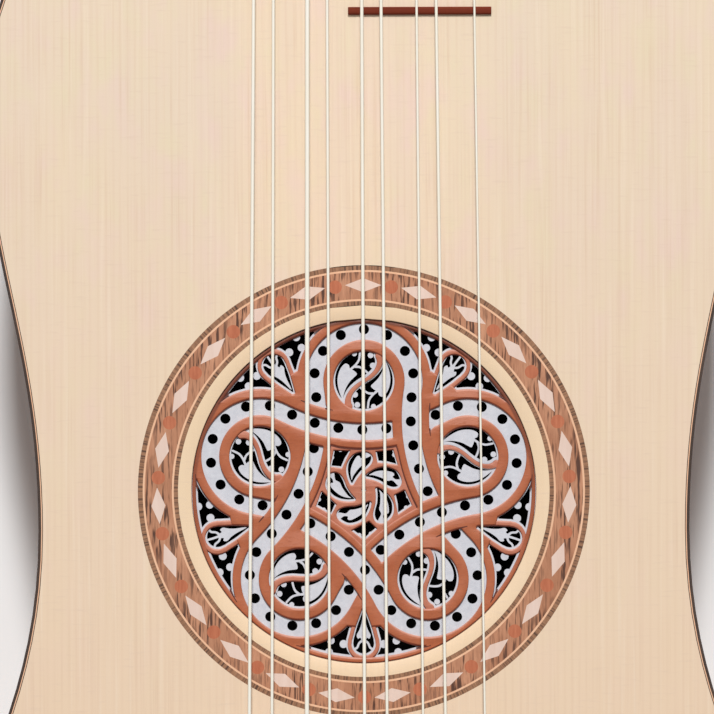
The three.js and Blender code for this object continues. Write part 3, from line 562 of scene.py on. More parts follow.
def stroke(spine, radii, steps=6, caps=5):
    """Outline of a pen stroke along a smooth spine, whose half width changes from point to point."""
    line = [Vector(point) for point in smooth(spine, steps)]
    widths = []
    for index in range(len(radii) - 1):
        widths += [radii[index] + (radii[index + 1] - radii[index]) * step / steps for step in range(steps)]
    widths.append(radii[-1])
    headings = []
    for index in range(len(line)):
        ahead = line[min(index + 1, len(line) - 1)] - line[max(index - 1, 0)]
        headings.append(math.degrees(math.atan2(ahead.y, ahead.x)))
    right = [tuple(spot + at(width, heading - 90)) for spot, width, heading in zip(line, widths, headings)]
    left = [tuple(spot + at(width, heading + 90)) for spot, width, heading in zip(line, widths, headings)]
    turns = [180 * (step + 1) / (caps + 1) for step in range(caps)]
    end = [tuple(line[-1] + at(widths[-1], headings[-1] - 90 + turn)) for turn in turns]
    start = [tuple(line[0] + at(widths[0], headings[0] + 90 + turn)) for turn in turns]
    return right + end + left[::-1] + start


def area(loop):
    """Area inside an outline, below zero for one that runs clockwise."""
    return sum(x1 * y2 - x2 * y1 for (x1, y1), (x2, y2) in zip(loop, loop[1:] + loop[:1])) / 2


# Points nearer than this are taken as one, smaller areas are left out, and sharper corners are cut off
SAME_POINT = 0.03
LEAST_AREA = 0.02
SHARP_CORNER = math.radians(95)


def traced(shapes, keep, blunt=0.0):
    """Outlines of the area that keep accepts. It is asked with the names of the shapes that hold a spot."""
    spots, faces, names = [], [], []
    for name, loop in shapes:
        loop = loop if area(loop) > 0 else loop[::-1]
        faces.append(list(range(len(spots), len(spots) + len(loop))))
        spots += [Vector(point) for point in loop]
        names.append(name)
    verts, _, triangles, _, _, owners = delaunay_2d_cdt(spots, [], faces, 1, 1e-4, True)
    edges = set()
    for triangle, held in zip(triangles, owners):
        if keep({names[index] for index in held}):
            edges.update(zip(triangle, triangle[1:] + triangle[:1]))
    onward = {}
    for start, end in edges:
        if (end, start) not in edges:
            onward.setdefault(start, []).append(end)
    loops = []
    while onward:
        here = next(iter(onward))
        loop, before = [], None
        while here in onward:
            choices = onward[here]
            if before is not None and len(choices) > 1:
                back = verts[before] - verts[here]
                choices.sort(key=lambda end: back.angle_signed(verts[end] - verts[here]) % TURN)
            end = choices.pop(0)
            if not choices:
                del onward[here]
            loop.append(tuple(verts[here]))
            before, here = here, end
        loops.append(tidied(loop, blunt))
    return [loop for loop in loops if len(loop) > 2 and abs(area(loop)) > LEAST_AREA]


def tidied(loop, blunt):
    """Drops points that all but touch, and cuts off corners that are too sharp to round."""
    kept = []
    for point in loop:
        if not kept or (Vector(point) - Vector(kept[-1])).length > SAME_POINT:
            kept.append(point)
    if not blunt or len(kept) < 4:
        return kept
    cut = []
    for index, point in enumerate(kept):
        here = Vector(point)
        back = Vector(kept[index - 1]) - here
        ahead = Vector(kept[(index + 1) % len(kept)]) - here
        if back.length and ahead.length and back.angle(ahead) < SHARP_CORNER:
            cut += [tuple(here + way.normalized() * min(blunt, way.length / 3)) for way in (back, ahead)]
        else:
            cut.append(point)
    return cut


# The body: half widths, shares of the length, and how far the curve reaches out of each of them

OUTLINE_HALF_WIDTHS = [0, 122, 84, 98, 30]
OUTLINE_STATIONS = [0, 0.237, 0.574, 0.821, 1]
OUTLINE_REACHES = [(0.64, 0.588), (0.413, 0.413), (0.436, 0.364), (0.604, 0.382)]


def half_outline(inset, steps=24):
    """Treble half of the body's outline, from the tail to the neck."""
    length = NECK_JOINT_Y - TAIL_Y
    anchors = [Vector((x, TAIL_Y + length * share)) for x, share in zip(OUTLINE_HALF_WIDTHS, OUTLINE_STATIONS)]
    points = []
    for index, (leave, arrive) in enumerate(OUTLINE_REACHES):
        near, far = anchors[index], anchors[index + 1]
        span = far - near
        out = Vector((span.x * leave, 0)) if index == 0 else Vector((0, span.y * leave))
        come = Vector((span.x * arrive, 0)) if index == 3 else Vector((0, span.y * arrive))
        first, second = near + out, far - come
        for step in range(0 if index == 0 else 1, steps + 1):
            t = step / steps
            left = 1 - t
            spot = (near * left ** 3 + first * 3 * left * left * t + second * 3 * left * t * t + far * t ** 3)
            heading = ((first - near) * left * left + (second - first) * 2 * left * t + (far - second) * t * t)
            heading.normalize()
            points.append((spot.x - heading.y * inset, spot.y + heading.x * inset))
    points.append((0, NECK_JOINT_Y - inset))
    return points


def body_outline(inset):
    """The whole outline, moved in by the inset."""
    treble = half_outline(inset)
    return treble + mirrored(treble)[1:-1]


def level(points, z):
    """A flat ring at a height."""
    return [(x, y, z) for x, y in points]


def note_run(rib, outline):
    """Notes how far along the outline each spot of a bent rib lies."""
    lengths = [0]
    for start, end in zip(outline, outline[1:]):
        lengths.append(lengths[-1] + (Vector(end) - Vector(start)).length * MM)
    run = rib.data.attributes.new('run', 'FLOAT', 'POINT')
    for vertex, note in zip(rib.data.vertices, run.data):
        spot = Vector((abs(vertex.co.x), vertex.co.y)) / MM
        note.value = min(((Vector(point) - spot).length, length) for point, length in zip(outline, lengths))[1]


RING_STEPS = 192
OPENING_EDGE = [(0, BOARD_LOW_Z), (0, 89.75), (0.07, 89.92), (0.25, BODY_DEPTH)]
BINDING_CORNER = 0.35
LIGHT_LINE_INSET = 0.75
DARK_LINE_INSET = 1
BUTTON_HOLE_RADIUS = 3.9


def ring_piece(name, inner, outer, low, high, finish, nodes):
    """A flat ring let in round the rose."""
    rings = [level(circle(radius, RING_STEPS), z)
             for radius, z in ((inner, low), (inner, high), (outer, high), (outer, low))]
    ready(drawn_through(name, rings, hollow=True), finish, nodes)


def edging(name, outer, inner, root, face, corner, finish, node):
    """A line let in along the body's edge, from its root to the face. A corner above zero is cut off."""
    rings = [level(body_outline(inner), root), level(body_outline(inner), face)]
    if corner:
        rings.append(level(body_outline(outer + corner), face))
    rings += [level(body_outline(outer), face - math.copysign(corner, face - root)),
              level(body_outline(outer), root)]
    ready(drawn_through(name, rings, hollow=True), finish, [node])


def make_body():
    edge = body_outline(BINDING_WIDTH)
    headings = [Vector(point).normalized() for point in edge]

    def round_at(radius, z):
        return [(heading.x * radius, heading.y * radius, z) for heading in headings]

    board = drawn_through('spruce_board', [round_at(OPENING_RADIUS + out, z) for out, z in OPENING_EDGE] + [
        round_at(INNER_HATCH, BODY_DEPTH), round_at(INNER_HATCH, CHANNEL_Z),
        round_at(RING_OUTER, CHANNEL_Z), round_at(RING_OUTER, BODY_DEPTH),
        level(edge, BODY_DEPTH), level(edge, BOARD_LOW_Z)], hollow=True)
    ready(board, 'spruce', ['soundboard'])

    back = drawn_through('body_back', [level(edge, 0), level(edge, BACK_THICKNESS)])
    ready(back, 'back', ['back'])
    # The back's inside face gets the near-black painted shade
    back.data.materials.append(FINISHES['inside'])
    for face in back.data.polygons:
        if face.normal.z > 0.9:
            face.material_index = 1

    for name, outer, inner, corner, finish in (
            ('top_edge_binding', 0, LIGHT_LINE_INSET, BINDING_CORNER, 'binding'),
            ('top_edge_light_line', LIGHT_LINE_INSET, DARK_LINE_INSET, 0, 'light line'),
            ('top_edge_dark_line', DARK_LINE_INSET, BINDING_WIDTH, 0, 'binding')):
        edging(name, outer, inner, BOARD_LOW_Z, BODY_DEPTH, corner, finish, 'top_binding')
    edging('back_edge_binding', 0, BINDING_WIDTH, BACK_THICKNESS, 0, BINDING_CORNER, 'binding', 'back_binding')

    loop = half_outline(0) + half_outline(RIB_THICKNESS)[::-1]
    for side, outline in (('treble', loop), ('bass', mirrored(loop))):
        rib = sheet(f'{side}_side', [outline], BACK_THICKNESS, BOARD_LOW_Z)
        bpy.ops.mesh.primitive_cylinder_add(vertices=32, radius=BUTTON_HOLE_RADIUS * MM, depth=30 * MM,
                                            location=(0, TAIL_Y * MM, BODY_DEPTH / 2 * MM),
                                            rotation=(math.pi / 2, 0, 0))
        drill(rib, bpy.context.object)
        note_run(rib, half_outline(0))
        ready(rib, 'ribs', [f'{side}_rib'])


# The ring round the rose
INLAY_DEPTH = 0.7
LOZENGE_HALF_WIDTH = 1.8
LOZENGE_HALF_LENGTH = 4.7
INLAY_DOT_RADIUS = 1.75


def make_ring():
    for name, inner, outer, finish, node in (
            ('inner_hatched_line', INNER_HATCH, INNER_LIGHT, 'hatch', 'rosette_inner_line'),
            ('inner_light_line', INNER_LIGHT, BAND_INNER, 'light line', 'rosette_inner_line'),
            ('outer_light_line', BAND_OUTER, OUTER_HATCH, 'light line', 'rosette_outer_line'),
            ('outer_hatched_line', OUTER_HATCH, RING_OUTER, 'hatch', 'rosette_outer_line')):
        ring_piece(name, inner, outer, CHANNEL_Z, BODY_DEPTH, finish, [node])
    lozenge = [(LOZENGE_CIRCLE - LOZENGE_HALF_WIDTH, 0), (LOZENGE_CIRCLE, -LOZENGE_HALF_LENGTH),
               (LOZENGE_CIRCLE + LOZENGE_HALF_WIDTH, 0), (LOZENGE_CIRCLE, LOZENGE_HALF_LENGTH)]
    step = 360 / INLAY_COUNT
    lozenges = [turned(lozenge, 90 + step * index) for index in range(INLAY_COUNT)]
    dots = [circle(INLAY_DOT_RADIUS, 28, tuple(at(LOZENGE_CIRCLE, 90 + step * (index + 0.5))))
            for index in range(INLAY_COUNT)]
    low = BODY_DEPTH - INLAY_DEPTH
    openings = [circle(BAND_OUTER, RING_STEPS), circle(BAND_INNER, RING_STEPS)] + lozenges + dots
    ready(sheet('walnut_band', openings, low, BODY_DEPTH), 'walnut', ['rosette_band'])
    ready(sheet('band_lozenges', lozenges, low, BODY_DEPTH), 'lozenge', ['rosette_inlays'])
    ready(sheet('band_dots', dots, low, BODY_DEPTH), 'red dot', ['rosette_inlays'])
    ring_piece('band_backing', BAND_INNER, BAND_OUTER, CHANNEL_Z, low, 'lozenge', ['rosette_inlays'])


# The rose's knot: five loops, joined by long arcs that bow towards the middle
LOOP_DISTANCE = 28.23
LOOP_RADIUS = 12.82
LOOP_DISC = 17.3
TOP_LOOP = Vector((0, LOOP_DISTANCE))
FIFTH = 72
KNOT_TURN = -0.25
LOOP_ANGLES = [90 + KNOT_TURN + FIFTH * step for step in range(5)]
EDGE_REACH = 15.1
EDGE_TURN = math.cos(math.radians(FIFTH))
EDGE_RADIUS = ((LOOP_DISTANCE ** 2 + EDGE_REACH ** 2 - 2 * LOOP_DISTANCE * EDGE_REACH * EDGE_TURN
                - LOOP_RADIUS ** 2)
               / (2 * (LOOP_RADIUS - EDGE_REACH + LOOP_DISTANCE * EDGE_TURN)))
EDGE_CENTRE = EDGE_REACH + EDGE_RADIUS
# Directions of the long arcs' centres round the top loop
LEFT_ARC, OVER_LEFT_ARC, RIGHT_ARC, OVER_RIGHT_ARC = 162, 90, 18, -54
BAND_HALF = 2.3
BORDER = 2.5
MIDDLE_GAP = 3.95
HEAD_SIDE_DROP = 0.3
LOOP_HOLE = 7.9
RIM_OUTER = 43.35
RIM_INNER = 35.2
DOT_RADIUS = 1.33
DOT_SPREAD = 0.991
WHITE_LIP = 0.45
PIXEL = 0.258

# Heights of the rose's layers
BACKING_LOW_Z = 87.6
WHITE_TOP = 88.5
INNER_TOP = 88.97
WOOD_TOP = 89.25
SCORE_DEPTH = 0.2
# The dark strip round the middle is a painted shadow of the upper wood on the lower, widest on the head side
SHADOW_STRIP_DEPTH = 0.3
SHADOW_STRIP_DROP = 0.3
SHADOW_STRIP_INNER, SHADOW_STRIP_OUTER = -0.12, 0.18

# The sawn walls inside this radius slope by these shares of their depth
RIM_REACH = 43.6
HEAD_SLOPE = 0.25
BRIDGE_SLOPE = 0.46

# Each layer's drawing sits a little nearer the head than the ring's centre
WOOD_LIFT = 0.18
WHITE_LIFT = 0.4
DOT_LIFT = 0.7


def pixels(points):
    """A small drawing made in photo pixels, in millimetres."""
    return [(x * PIXEL, y * PIXEL) for x, y in points]


def loop_centre(angle):
    return tuple(at(LOOP_DISTANCE, angle))


def tangency():
    """Direction from the left arc's centre to the top loop's centre."""
    gap = TOP_LOOP - at(EDGE_CENTRE, LEFT_ARC)
    return math.degrees(math.atan2(gap.y, gap.x))


def crossing(centre, radius, angles, other, reach):
    """The angle on an arc at which it comes as near to another centre as the reach."""
    low, high = angles
    far = (centre + at(radius, low) - other).length > reach
    for _ in range(40):
        middle = (low + high) / 2
        if ((centre + at(radius, middle) - other).length > reach) == far:
            low = middle
        else:
            high = middle
    return (low + high) / 2


def band_side(offset):
    """One side of the band round the top loop, from its left end to its right end. Each end is looked for
    along a long arc, at most 22 or 52 degrees from where the loop meets it."""
    lean = tangency()
    left, right = at(EDGE_CENTRE, LEFT_ARC), at(EDGE_CENTRE, RIGHT_ARC)
    over_left, over_right = at(EDGE_CENTRE, OVER_LEFT_ARC), at(EDGE_CENTRE, OVER_RIGHT_ARC)
    radius = EDGE_RADIUS - offset
    half = BAND_HALF + BORDER
    start = crossing(left, radius, (lean, lean - 22), over_left, EDGE_RADIUS - half)
    end = crossing(right, radius, (180 - lean, 232), over_right, EDGE_RADIUS + half)
    points = arc(left, radius, start, lean, 8)[:-1]
    points += arc(TOP_LOOP, LOOP_RADIUS + offset, 180 + lean, -lean, 44)[:-1]
    points += arc(right, radius, 180 - lean, end, 24)
    return points


def band_outline():
    """The top band. Its inner corner at the left end reaches a little under the band beside it."""
    outer, inner = band_side(BAND_HALF), band_side(-BAND_HALF)
    across = (Vector(inner[0]) - Vector(outer[0])).normalized()
    inner[0] = tuple(Vector(inner[0]) + across * 0.8)
    inner[1] = tuple(Vector(inner[1]) + across * 0.25)

    def cut(centre, start, end):
        first, last = Vector(start) - centre, Vector(end) - centre
        swing = math.degrees(first.angle_signed(last))
        angle = math.degrees(math.atan2(first.y, first.x))
        return arc(centre, first.length, angle, angle - swing, 6)[1:-1]

    right_cut = cut(at(EDGE_CENTRE, OVER_RIGHT_ARC), outer[-1], inner[-1])
    left_cut = cut(at(EDGE_CENTRE, OVER_LEFT_ARC), inner[0], outer[0])
    return outer + right_cut + inner[::-1] + left_cut


def band_dots():
    """Centres of the black dots along the top band, evenly spaced from the top of the loop."""
    lean = tangency()
    round_loop = math.radians(90 + lean) * LOOP_RADIUS
    pitch = DOT_SPREAD * (round_loop + math.radians(RIGHT_ARC + lean) * EDGE_RADIUS) / 7
    centres = []
    for number in range(-4, 9):
        run = abs(number) * pitch
        if run <= round_loop:
            spot = TOP_LOOP + at(LOOP_RADIUS, 90 - math.degrees(run / LOOP_RADIUS))
        else:
            onward = math.degrees((run - round_loop) / EDGE_RADIUS)
            spot = at(EDGE_CENTRE, RIGHT_ARC) + at(EDGE_RADIUS, 180 - lean + onward)
        centres.append((-spot.x if number < 0 else spot.x, spot.y))
    return centres


def middle_outline(grow):
    """The five-sided middle, bounded by the long arcs. The side towards the head lies a little lower."""
    points = []
    for side in LOOP_ANGLES:
        for step in range(12):
            lean = FIFTH * (step / 12 - 0.5)
            across = EDGE_CENTRE * math.sin(math.radians(lean))
            reach = (EDGE_CENTRE * math.cos(math.radians(lean))
                     - math.sqrt((EDGE_RADIUS + MIDDLE_GAP + grow) ** 2 - across ** 2))
            if side == LOOP_ANGLES[0]:
                reach -= HEAD_SIDE_DROP
            points.append(tuple(at(reach, side + lean)))
    return points


def flipped(points):
    """The same points below the line, from the last to the first."""
    return [(x, -y) for x, y in reversed(points)]


# Small drawings in photo pixels. Petals and corners are drawn as the openings in the white sheet
HALF_DIVIDER = [(15.6, 25.2), (15.8, 17.9), (12.6, 10.7), (6.7, 4.6)]
DIVIDER = pixels(HALF_DIVIDER + [(0, 0)] + [(-x, -y) for x, y in reversed(HALF_DIVIDER)])
DIVIDER_HALF_WIDTHS = [0.95, 0.74, 0.62, 0.56, 0.52, 0.56, 0.62, 0.74, 0.95]
DIVIDER_END = 1.1
PETAL = pixels([(-11.9, 6.2), (-13.4, 8.8), (-14.8, 12.6), (-16, 19.9), (-14.6, 27.9), (-9.2, 35), (-3, 37.4),
                (3.5, 37), (7.3, 33), (6.4, 27.8), (2.6, 23.2), (-3, 18.6), (-7.8, 12.7), (-10.2, 8.8)])
CORNER = pixels([(-14.3, 38.9), (-19.2, 31.4), (-22.8, 22.9), (-32.3, 23.8), (-29.1, 39.3)])
LEAF = pixels([(-21, -20.4), (-23.6, -14.6), (-25.7, -7.5), (-26.5, -0.4), (-25.4, 6.8), (-22.6, 12.9),
               (-18.5, 16.6), (-15, 14.9), (-14, 11.3), (-10.3, 9.6), (-7, 6.2), (-9.4, 3.2), (-14, -1.4),
               (-18, -8), (-20.2, -14.6)])
TENDRILS = [
    pixels([(-15.5, 9), (-9.2, 14.4), (-5.1, 20.1), (-4, 27.5)]),
    pixels([(-9.2, 13.6), (-4.2, 13), (0.4, 10.2), (3.4, 7.4), (5.2, 5.4)]),
]
CUSPS = [((-9.6, 26.4), 2.6), ((6.6, 24.8), 2.9), ((8.9, 14.6), 3)]
CORNER_BUMPS = [((-23.5, 39.8), 2.3), ((-31.8, 31.8), 2.1)]
PETAL_LEAF = pixels([(-12.1, 9.4), (-12.9, 13), (-13.3, 17), (-12.4, 22.7), (-9.6, 29.2), (-6.8, 33.2),
                     (-4.2, 33.4), (-3.4, 31.4), (-1.2, 32.2), (0.6, 34), (2.4, 39), (7.2, 37.6), (6.6, 33.6),
                     (2.8, 31.6), (0, 29.6), (-0.9, 25), (-4.5, 21.6), (-8.2, 17), (-11, 12.6)])
HALF_TEAR_LEAF = [(124.5, 0.6), (134, 2.2), (141, 4.4), (146, 7), (149.5, 5.6), (148.5, 3.2), (153, 1.5)]
TEAR_LEAF = pixels(HALF_TEAR_LEAF + flipped(HALF_TEAR_LEAF))
TEAR_CURL = [(151, 0.5), (154, 4.5), (158.5, 6.5), (160.5, 10.3)]
TEAR_TENDRILS = [pixels([(151, 0), (158, 0.2), (165.5, 0)]), pixels(TEAR_CURL),
                 pixels(flipped(TEAR_CURL)[::-1])]
# Reach in pixels, angle to either side of a tear, radius in pixels
SPANDREL_BUMPS = [(166.6, 12, 3.9), (155, 12.2, 3.8), (156.2, 7.4, 4)]
# The tear-shaped openings near the rim, in millimetres, with the wooden line round them
TEAR_SPINE = [(31.2, 0), (33.2, 0), (35.6, 0), (38.5, 0), (39.75, 0)]
TEAR_RADII = [0.6, 1.35, 2.2, 3.0, 3.15]
TEAR_LINE = 1.0
TEAR_LEAST = 0.15
TENDRIL_HALF_WIDTH = 0.27
TENDRIL_ROOT = 0.34
TEAR_TENDRIL_ROOT = 0.32
# How far the lower wood reaches under the upper one
MIDDLE_UNDERLAP = 0.35
HOLE_UNDERLAP = 0.4
FRAME_ROOT = 34.6
FRAME_END = 43.8
EYE_RADIUS = 0.6
# Scored strokes, and the radii and angles of those at the tips of the outer openings
SCORE_LENGTH = 1.8
SCORE_HALF_WIDTH = 0.2
TIP_SCORES = [(42.9, 18.6), (43.35, 21), (43.65, 23.4)]


def narrowed(loop, margin):
    """An outline that runs clockwise, moved in by an even margin."""
    moved = []
    for index, (x, y) in enumerate(loop):
        ahead = Vector(loop[(index + 1) % len(loop)]) - Vector(loop[index - 1])
        ahead.normalize()
        moved.append((x + ahead.y * margin, y - ahead.x * margin))
    return moved


def scored_lines():
    """Strokes scored in the wood where a band goes under another, and at the tips of the outer openings."""
    outer, inner = Vector(band_side(BAND_HALF)[0]), Vector(band_side(-BAND_HALF)[0])
    centre = at(EDGE_CENTRE, OVER_LEFT_ARC)
    reach = (outer - centre).length
    length = math.degrees(SCORE_LENGTH / reach)
    lines = []
    for end, other in ((outer, inner), (inner, outer)):
        first, last = end - centre, other - centre
        angle = math.degrees(math.atan2(first.y, first.x))
        onward = math.copysign(length, first.angle_signed(last))
        lines.append(arc(centre, reach, angle, angle + onward, 2))
    for side in (-1, 1):
        lines.append([tuple(at(radius, 90 + FIFTH / 2 + side * lean)) for radius, lean in TIP_SCORES])
    radii = [SCORE_HALF_WIDTH * share for share in (1, 0.85, 0.5)]
    return [stroke(line, radii, 3, 2) for line in lines]


def rose_shapes(lip):
    """Outlines of the rose's parts. The lip is how far the white sheet shows past the wood."""
    shapes = []
    for angle in LOOP_ANGLES:
        swing = angle - 90
        between = angle + FIFTH / 2
        middle = loop_centre(angle)
        halves = [half + lip for half in DIVIDER_HALF_WIDTHS]
        frame_radii = [radius + TEAR_LINE + lip for radius in TEAR_RADII]
        tear_radii = [max(radius - lip, TEAR_LEAST) for radius in TEAR_RADII]
        shapes.append(('loop hole', circle(LOOP_HOLE - lip, 56, middle)))
        shapes.append(('divider', turned(stroke(DIVIDER, halves, 4, 4), swing, middle)))
        for end in turned([DIVIDER[0], DIVIDER[-1]], swing, middle):
            shapes.append(('divider', circle(DIVIDER_END + lip, 16, end)))
        shapes.append(('petal', turned(narrowed(smooth(PETAL, 4, closed=True), lip - WHITE_LIP), swing)))
        shapes.append(('corner', turned(narrowed(CORNER, lip - WHITE_LIP), swing)))
        shapes.append(('tear frame', turned(stroke(TEAR_SPINE, frame_radii, 6, 12), between)))
        shapes.append(('tear', turned(stroke(TEAR_SPINE, tear_radii, 6, 12), between)))
        shapes.append(('loop disc', circle(LOOP_DISC + lip, 80, middle)))
    shapes.append(('middle', middle_outline(lip)))
    shapes.append(('outer rim', circle(RIM_OUTER - lip, 144)))
    shapes.append(('inner rim', circle(RIM_INNER + lip, 96)))
    return shapes


def in_spandrel(held):
    """Whether a spot lies near the rim, outside the loops."""
    return 'outer rim' in held and 'inner rim' not in held and 'loop disc' not in held


def opened(held):
    """Whether a spot lies in one of the rose's openings."""
    if 'loop hole' in held:
        return 'divider' not in held
    if 'tear' in held or 'petal' in held:
        return True
    if 'middle' in held:
        return 'corner' in held
    return in_spandrel(held) and 'tear frame' not in held


def in_knotwork(held):
    """Whether a spot lies in the upper wood, which leaves out the middle and the lines in holes and tears."""
    low = 'middle' in held or 'loop hole' in held or ('tear frame' in held and in_spandrel(held))
    return 'wood' in held and 'band' not in held and not opened(held) and not low


def in_inner_work(held):
    """Whether a spot lies in the lower wood, which reaches a little under the upper one."""
    in_frame = 'tear frame' in held and 'tear rim' in held and 'root rim' not in held
    wide = 'wide middle' in held or ('wide hole' in held and 'divider' in held) or in_frame
    return wide and 'band' not in held and 'eye' not in held and not opened(held)


def in_white(held):
    """Whether a spot lies in the white sheet, whose leaves reach into the openings."""
    return 'sheet' in held and 'dot' not in held and ('leaf' in held or not opened(held))


def lifted(loops, lift):
    """Outlines moved towards the head."""
    return [[(x, y + lift) for x, y in loop] for loop in loops]


def splayed(piece, top):
    """Slopes the sawn walls that face the head or the bridge, all but the rim's, and notes how they face for
    the painted highlight and shade on the cut edges.
    """
    for vertex, normal in zip(piece.data.vertices, [vertex.normal.copy() for vertex in piece.data.vertices]):
        if vertex.co.xy.length < RIM_REACH * MM and vertex.co.z > (WHITE_TOP - 0.1) * MM:
            depth = (top * MM - vertex.co.z) / (top - WHITE_TOP)
            facing = normal.y / max(normal.xy.length, 0.2)
            vertex.co.y += depth * facing * (HEAD_SLOPE if facing > 0 else BRIDGE_SLOPE)
    piece.data.update()
    # How each face leans to the head or the bridge, from which the pear finish paints highlight or shade
    edge = piece.data.attributes.new('edge', 'FLOAT', 'FACE')
    for face, note in zip(piece.data.polygons, edge.data):
        note.value = face.normal.y if abs(face.normal.z) < 0.95 else 0
    return piece


def make_rose_wood():
    """The rose's two layers of wood, the strokes scored in it and a painted shadow strip round its middle."""
    wood = rose_shapes(0) + [('wood', circle(ROSE_RADIUS, 144, (0, -WOOD_LIFT))),
                             ('root rim', circle(FRAME_ROOT, 96)), ('tear rim', circle(FRAME_END, 96)),
                             ('wide middle', middle_outline(-MIDDLE_UNDERLAP)), ('eye', circle(EYE_RADIUS, 14))]
    lines = []
    for angle in LOOP_ANGLES:
        wood.append(('band', turned(band_outline(), angle - 90)))
        wood.append(('wide hole', circle(LOOP_HOLE + HOLE_UNDERLAP, 56, loop_centre(angle))))
        lines += [turned(line, angle - 90) for line in scored_lines()]
    for name, keep, blunt, top, rounding, finish in (
            ('rose_knotwork', in_knotwork, 0.3, WOOD_TOP, 0.28, 'pear'),
            ('rose_inner_work', in_inner_work, 0.2, INNER_TOP, 0.17, 'pale pear')):
        loops = lifted(traced(wood, keep, blunt), WOOD_LIFT)
        ready(splayed(sheet(name, loops, WHITE_TOP, top, rounding), top), finish, ['rose_tracery'])
    # Painted shadow: a dark strip along the middle's edge, widest on the head side and none on the bridge side
    middle_shadow_strip = (lifted([middle_outline(SHADOW_STRIP_INNER)], WOOD_LIFT)
              + lifted([middle_outline(SHADOW_STRIP_OUTER)], WOOD_LIFT - SHADOW_STRIP_DROP))
    for name, loops, low, high in (
            ('rose_scored_lines', lifted(lines, WOOD_LIFT), WOOD_TOP - SCORE_DEPTH, WOOD_TOP + 0.02),
            ('rose_middle_painted_shadow', middle_shadow_strip, INNER_TOP - SHADOW_STRIP_DEPTH, INNER_TOP + 0.03)):
        ready(sheet(name, loops, low, high), 'scored wood and painted shadow', ['rose_tracery'])


def leaf_outlines():
    """The white sheet's leaves, curls and small cusps."""
    def tendrils(spines, root):
        return [stroke(spine, [root] + [TENDRIL_HALF_WIDTH] * (len(spine) - 1), 3, 2) for spine in spines]

    def bumps(spots):
        return [circle(radius * PIXEL, 10, (x * PIXEL, y * PIXEL)) for (x, y), radius in spots]

    in_loop = [smooth(LEAF, 3, closed=True)] + tendrils(TENDRILS, TENDRIL_ROOT) + bumps(CUSPS)
    in_petal = bumps(CORNER_BUMPS) + [smooth(PETAL_LEAF, 3, closed=True)]
    in_tear = [smooth(TEAR_LEAF, 3, closed=True)] + tendrils(TEAR_TENDRILS, TEAR_TENDRIL_ROOT)
    leaves = []
    for angle in LOOP_ANGLES:
        swing = angle - 90
        between = angle + FIFTH / 2
        for half in (0, 180):
            leaves += [turned(leaf, swing + half, loop_centre(angle)) for leaf in in_loop]
        leaves += [turned(leaf, swing) for leaf in in_petal]
        leaves += [turned(leaf, between) for leaf in in_tear]
        for reach, side, radius in SPANDREL_BUMPS:
            for sign in (-1, 1):
                leaves.append(circle(radius * PIXEL, 14, tuple(at(reach * PIXEL, between + sign * side))))
    return leaves


def make_rose_parchment():
    """The white sheet under the wood, and its backing. Black dots are holes through both."""
    white = rose_shapes(WHITE_LIP) + [('leaf', leaf) for leaf in leaf_outlines()]
    for angle in LOOP_ANGLES:
        for dot in turned(band_dots(), angle - 90, (0, DOT_LIFT - WHITE_LIFT)):
            white.append(('dot', circle(DOT_RADIUS, 20, dot)))
    for name, radius, low, high in (('rose_white_layer', ROSE_RADIUS, BOARD_LOW_Z, WHITE_TOP),
                                    ('rose_white_backing', WHITE_SHEET_RADIUS, BACKING_LOW_Z, BOARD_LOW_Z)):
        edge = circle(radius, 144, (0, -WHITE_LIFT))
        loops = lifted(traced(white + [('sheet', edge)], in_white), WHITE_LIFT)
        ready(sheet(name, loops, low, high), 'parchment', ['rose_parchment'])


# Neck and fingerboard
NECK_HALF_AT_BODY = 30.5
NUT_HALF = 26.5
NECK_DEPTH_AT_BODY = 19
NECK_DEPTH_AT_NUT = 15.5
NECK_KEEL = 4
NECK_ROUNDNESS = 0.85
HEEL_LENGTH = 36
HEEL_KEEL = 18
HEEL_ROUNDNESS = 5
HEEL_GAP = 3


def between(value, low, high, start, end):
    """An even change from start to end while the value goes from low to high."""
    return start + (end - start) * (value - low) / (high - low)


def neck_half(y):
    return between(y, NECK_JOINT_Y, NUT_Y, NECK_HALF_AT_BODY, NUT_HALF)


def neck_depth(y):
    return between(y, NECK_JOINT_Y, NUT_Y, NECK_DEPTH_AT_BODY, NECK_DEPTH_AT_NUT)


def neck_section(half, depth, keel, power, steps=12):
    """Half round section of the neck, flatter below with a wider keel and fuller with a lower power."""
    treble = []
    for step in range(steps + 1):
        angle = math.pi / 2 * step / steps
        bulge = max(math.cos(angle), 0) ** power if step < steps else 0
        treble.append((keel + (half - keel) * bulge, NECK_TOP_Z - depth * math.sin(angle)))
    return treble + mirrored(treble)


def free_section(y, offset):
    """Section of the neck where it is free of the heel, or a little outside it."""
    return neck_section(neck_half(y) + offset, neck_depth(y) + offset, NECK_KEEL / 2, NECK_ROUNDNESS)


HEEL = [(1, 0), (0.8, 0.05), (0.67, 0.14), (0.57, 0.3), (0.5, 0.53), (0.45, 0.8), (0.38, 1)]
HEAD_TILT = math.radians(12)
HEAD_ROOT_Z = 88.5
HEAD_ROOT_Y = NECK_END_Y + ((HEAD_ROOT_Z - NECK_TOP_Z) * math.sin(HEAD_TILT) + 0.3) / math.cos(HEAD_TILT)
HEAD_BACK_Z = -15.8
VENEER_BACK_Z = -1.5


def head_place(unit):
    """Where the head's own drawing lies, with lengths in the unit."""
    return (Matrix.Translation((0, HEAD_ROOT_Y * unit, HEAD_ROOT_Z * unit))
            @ Matrix.Rotation(-HEAD_TILT, 4, 'X'))


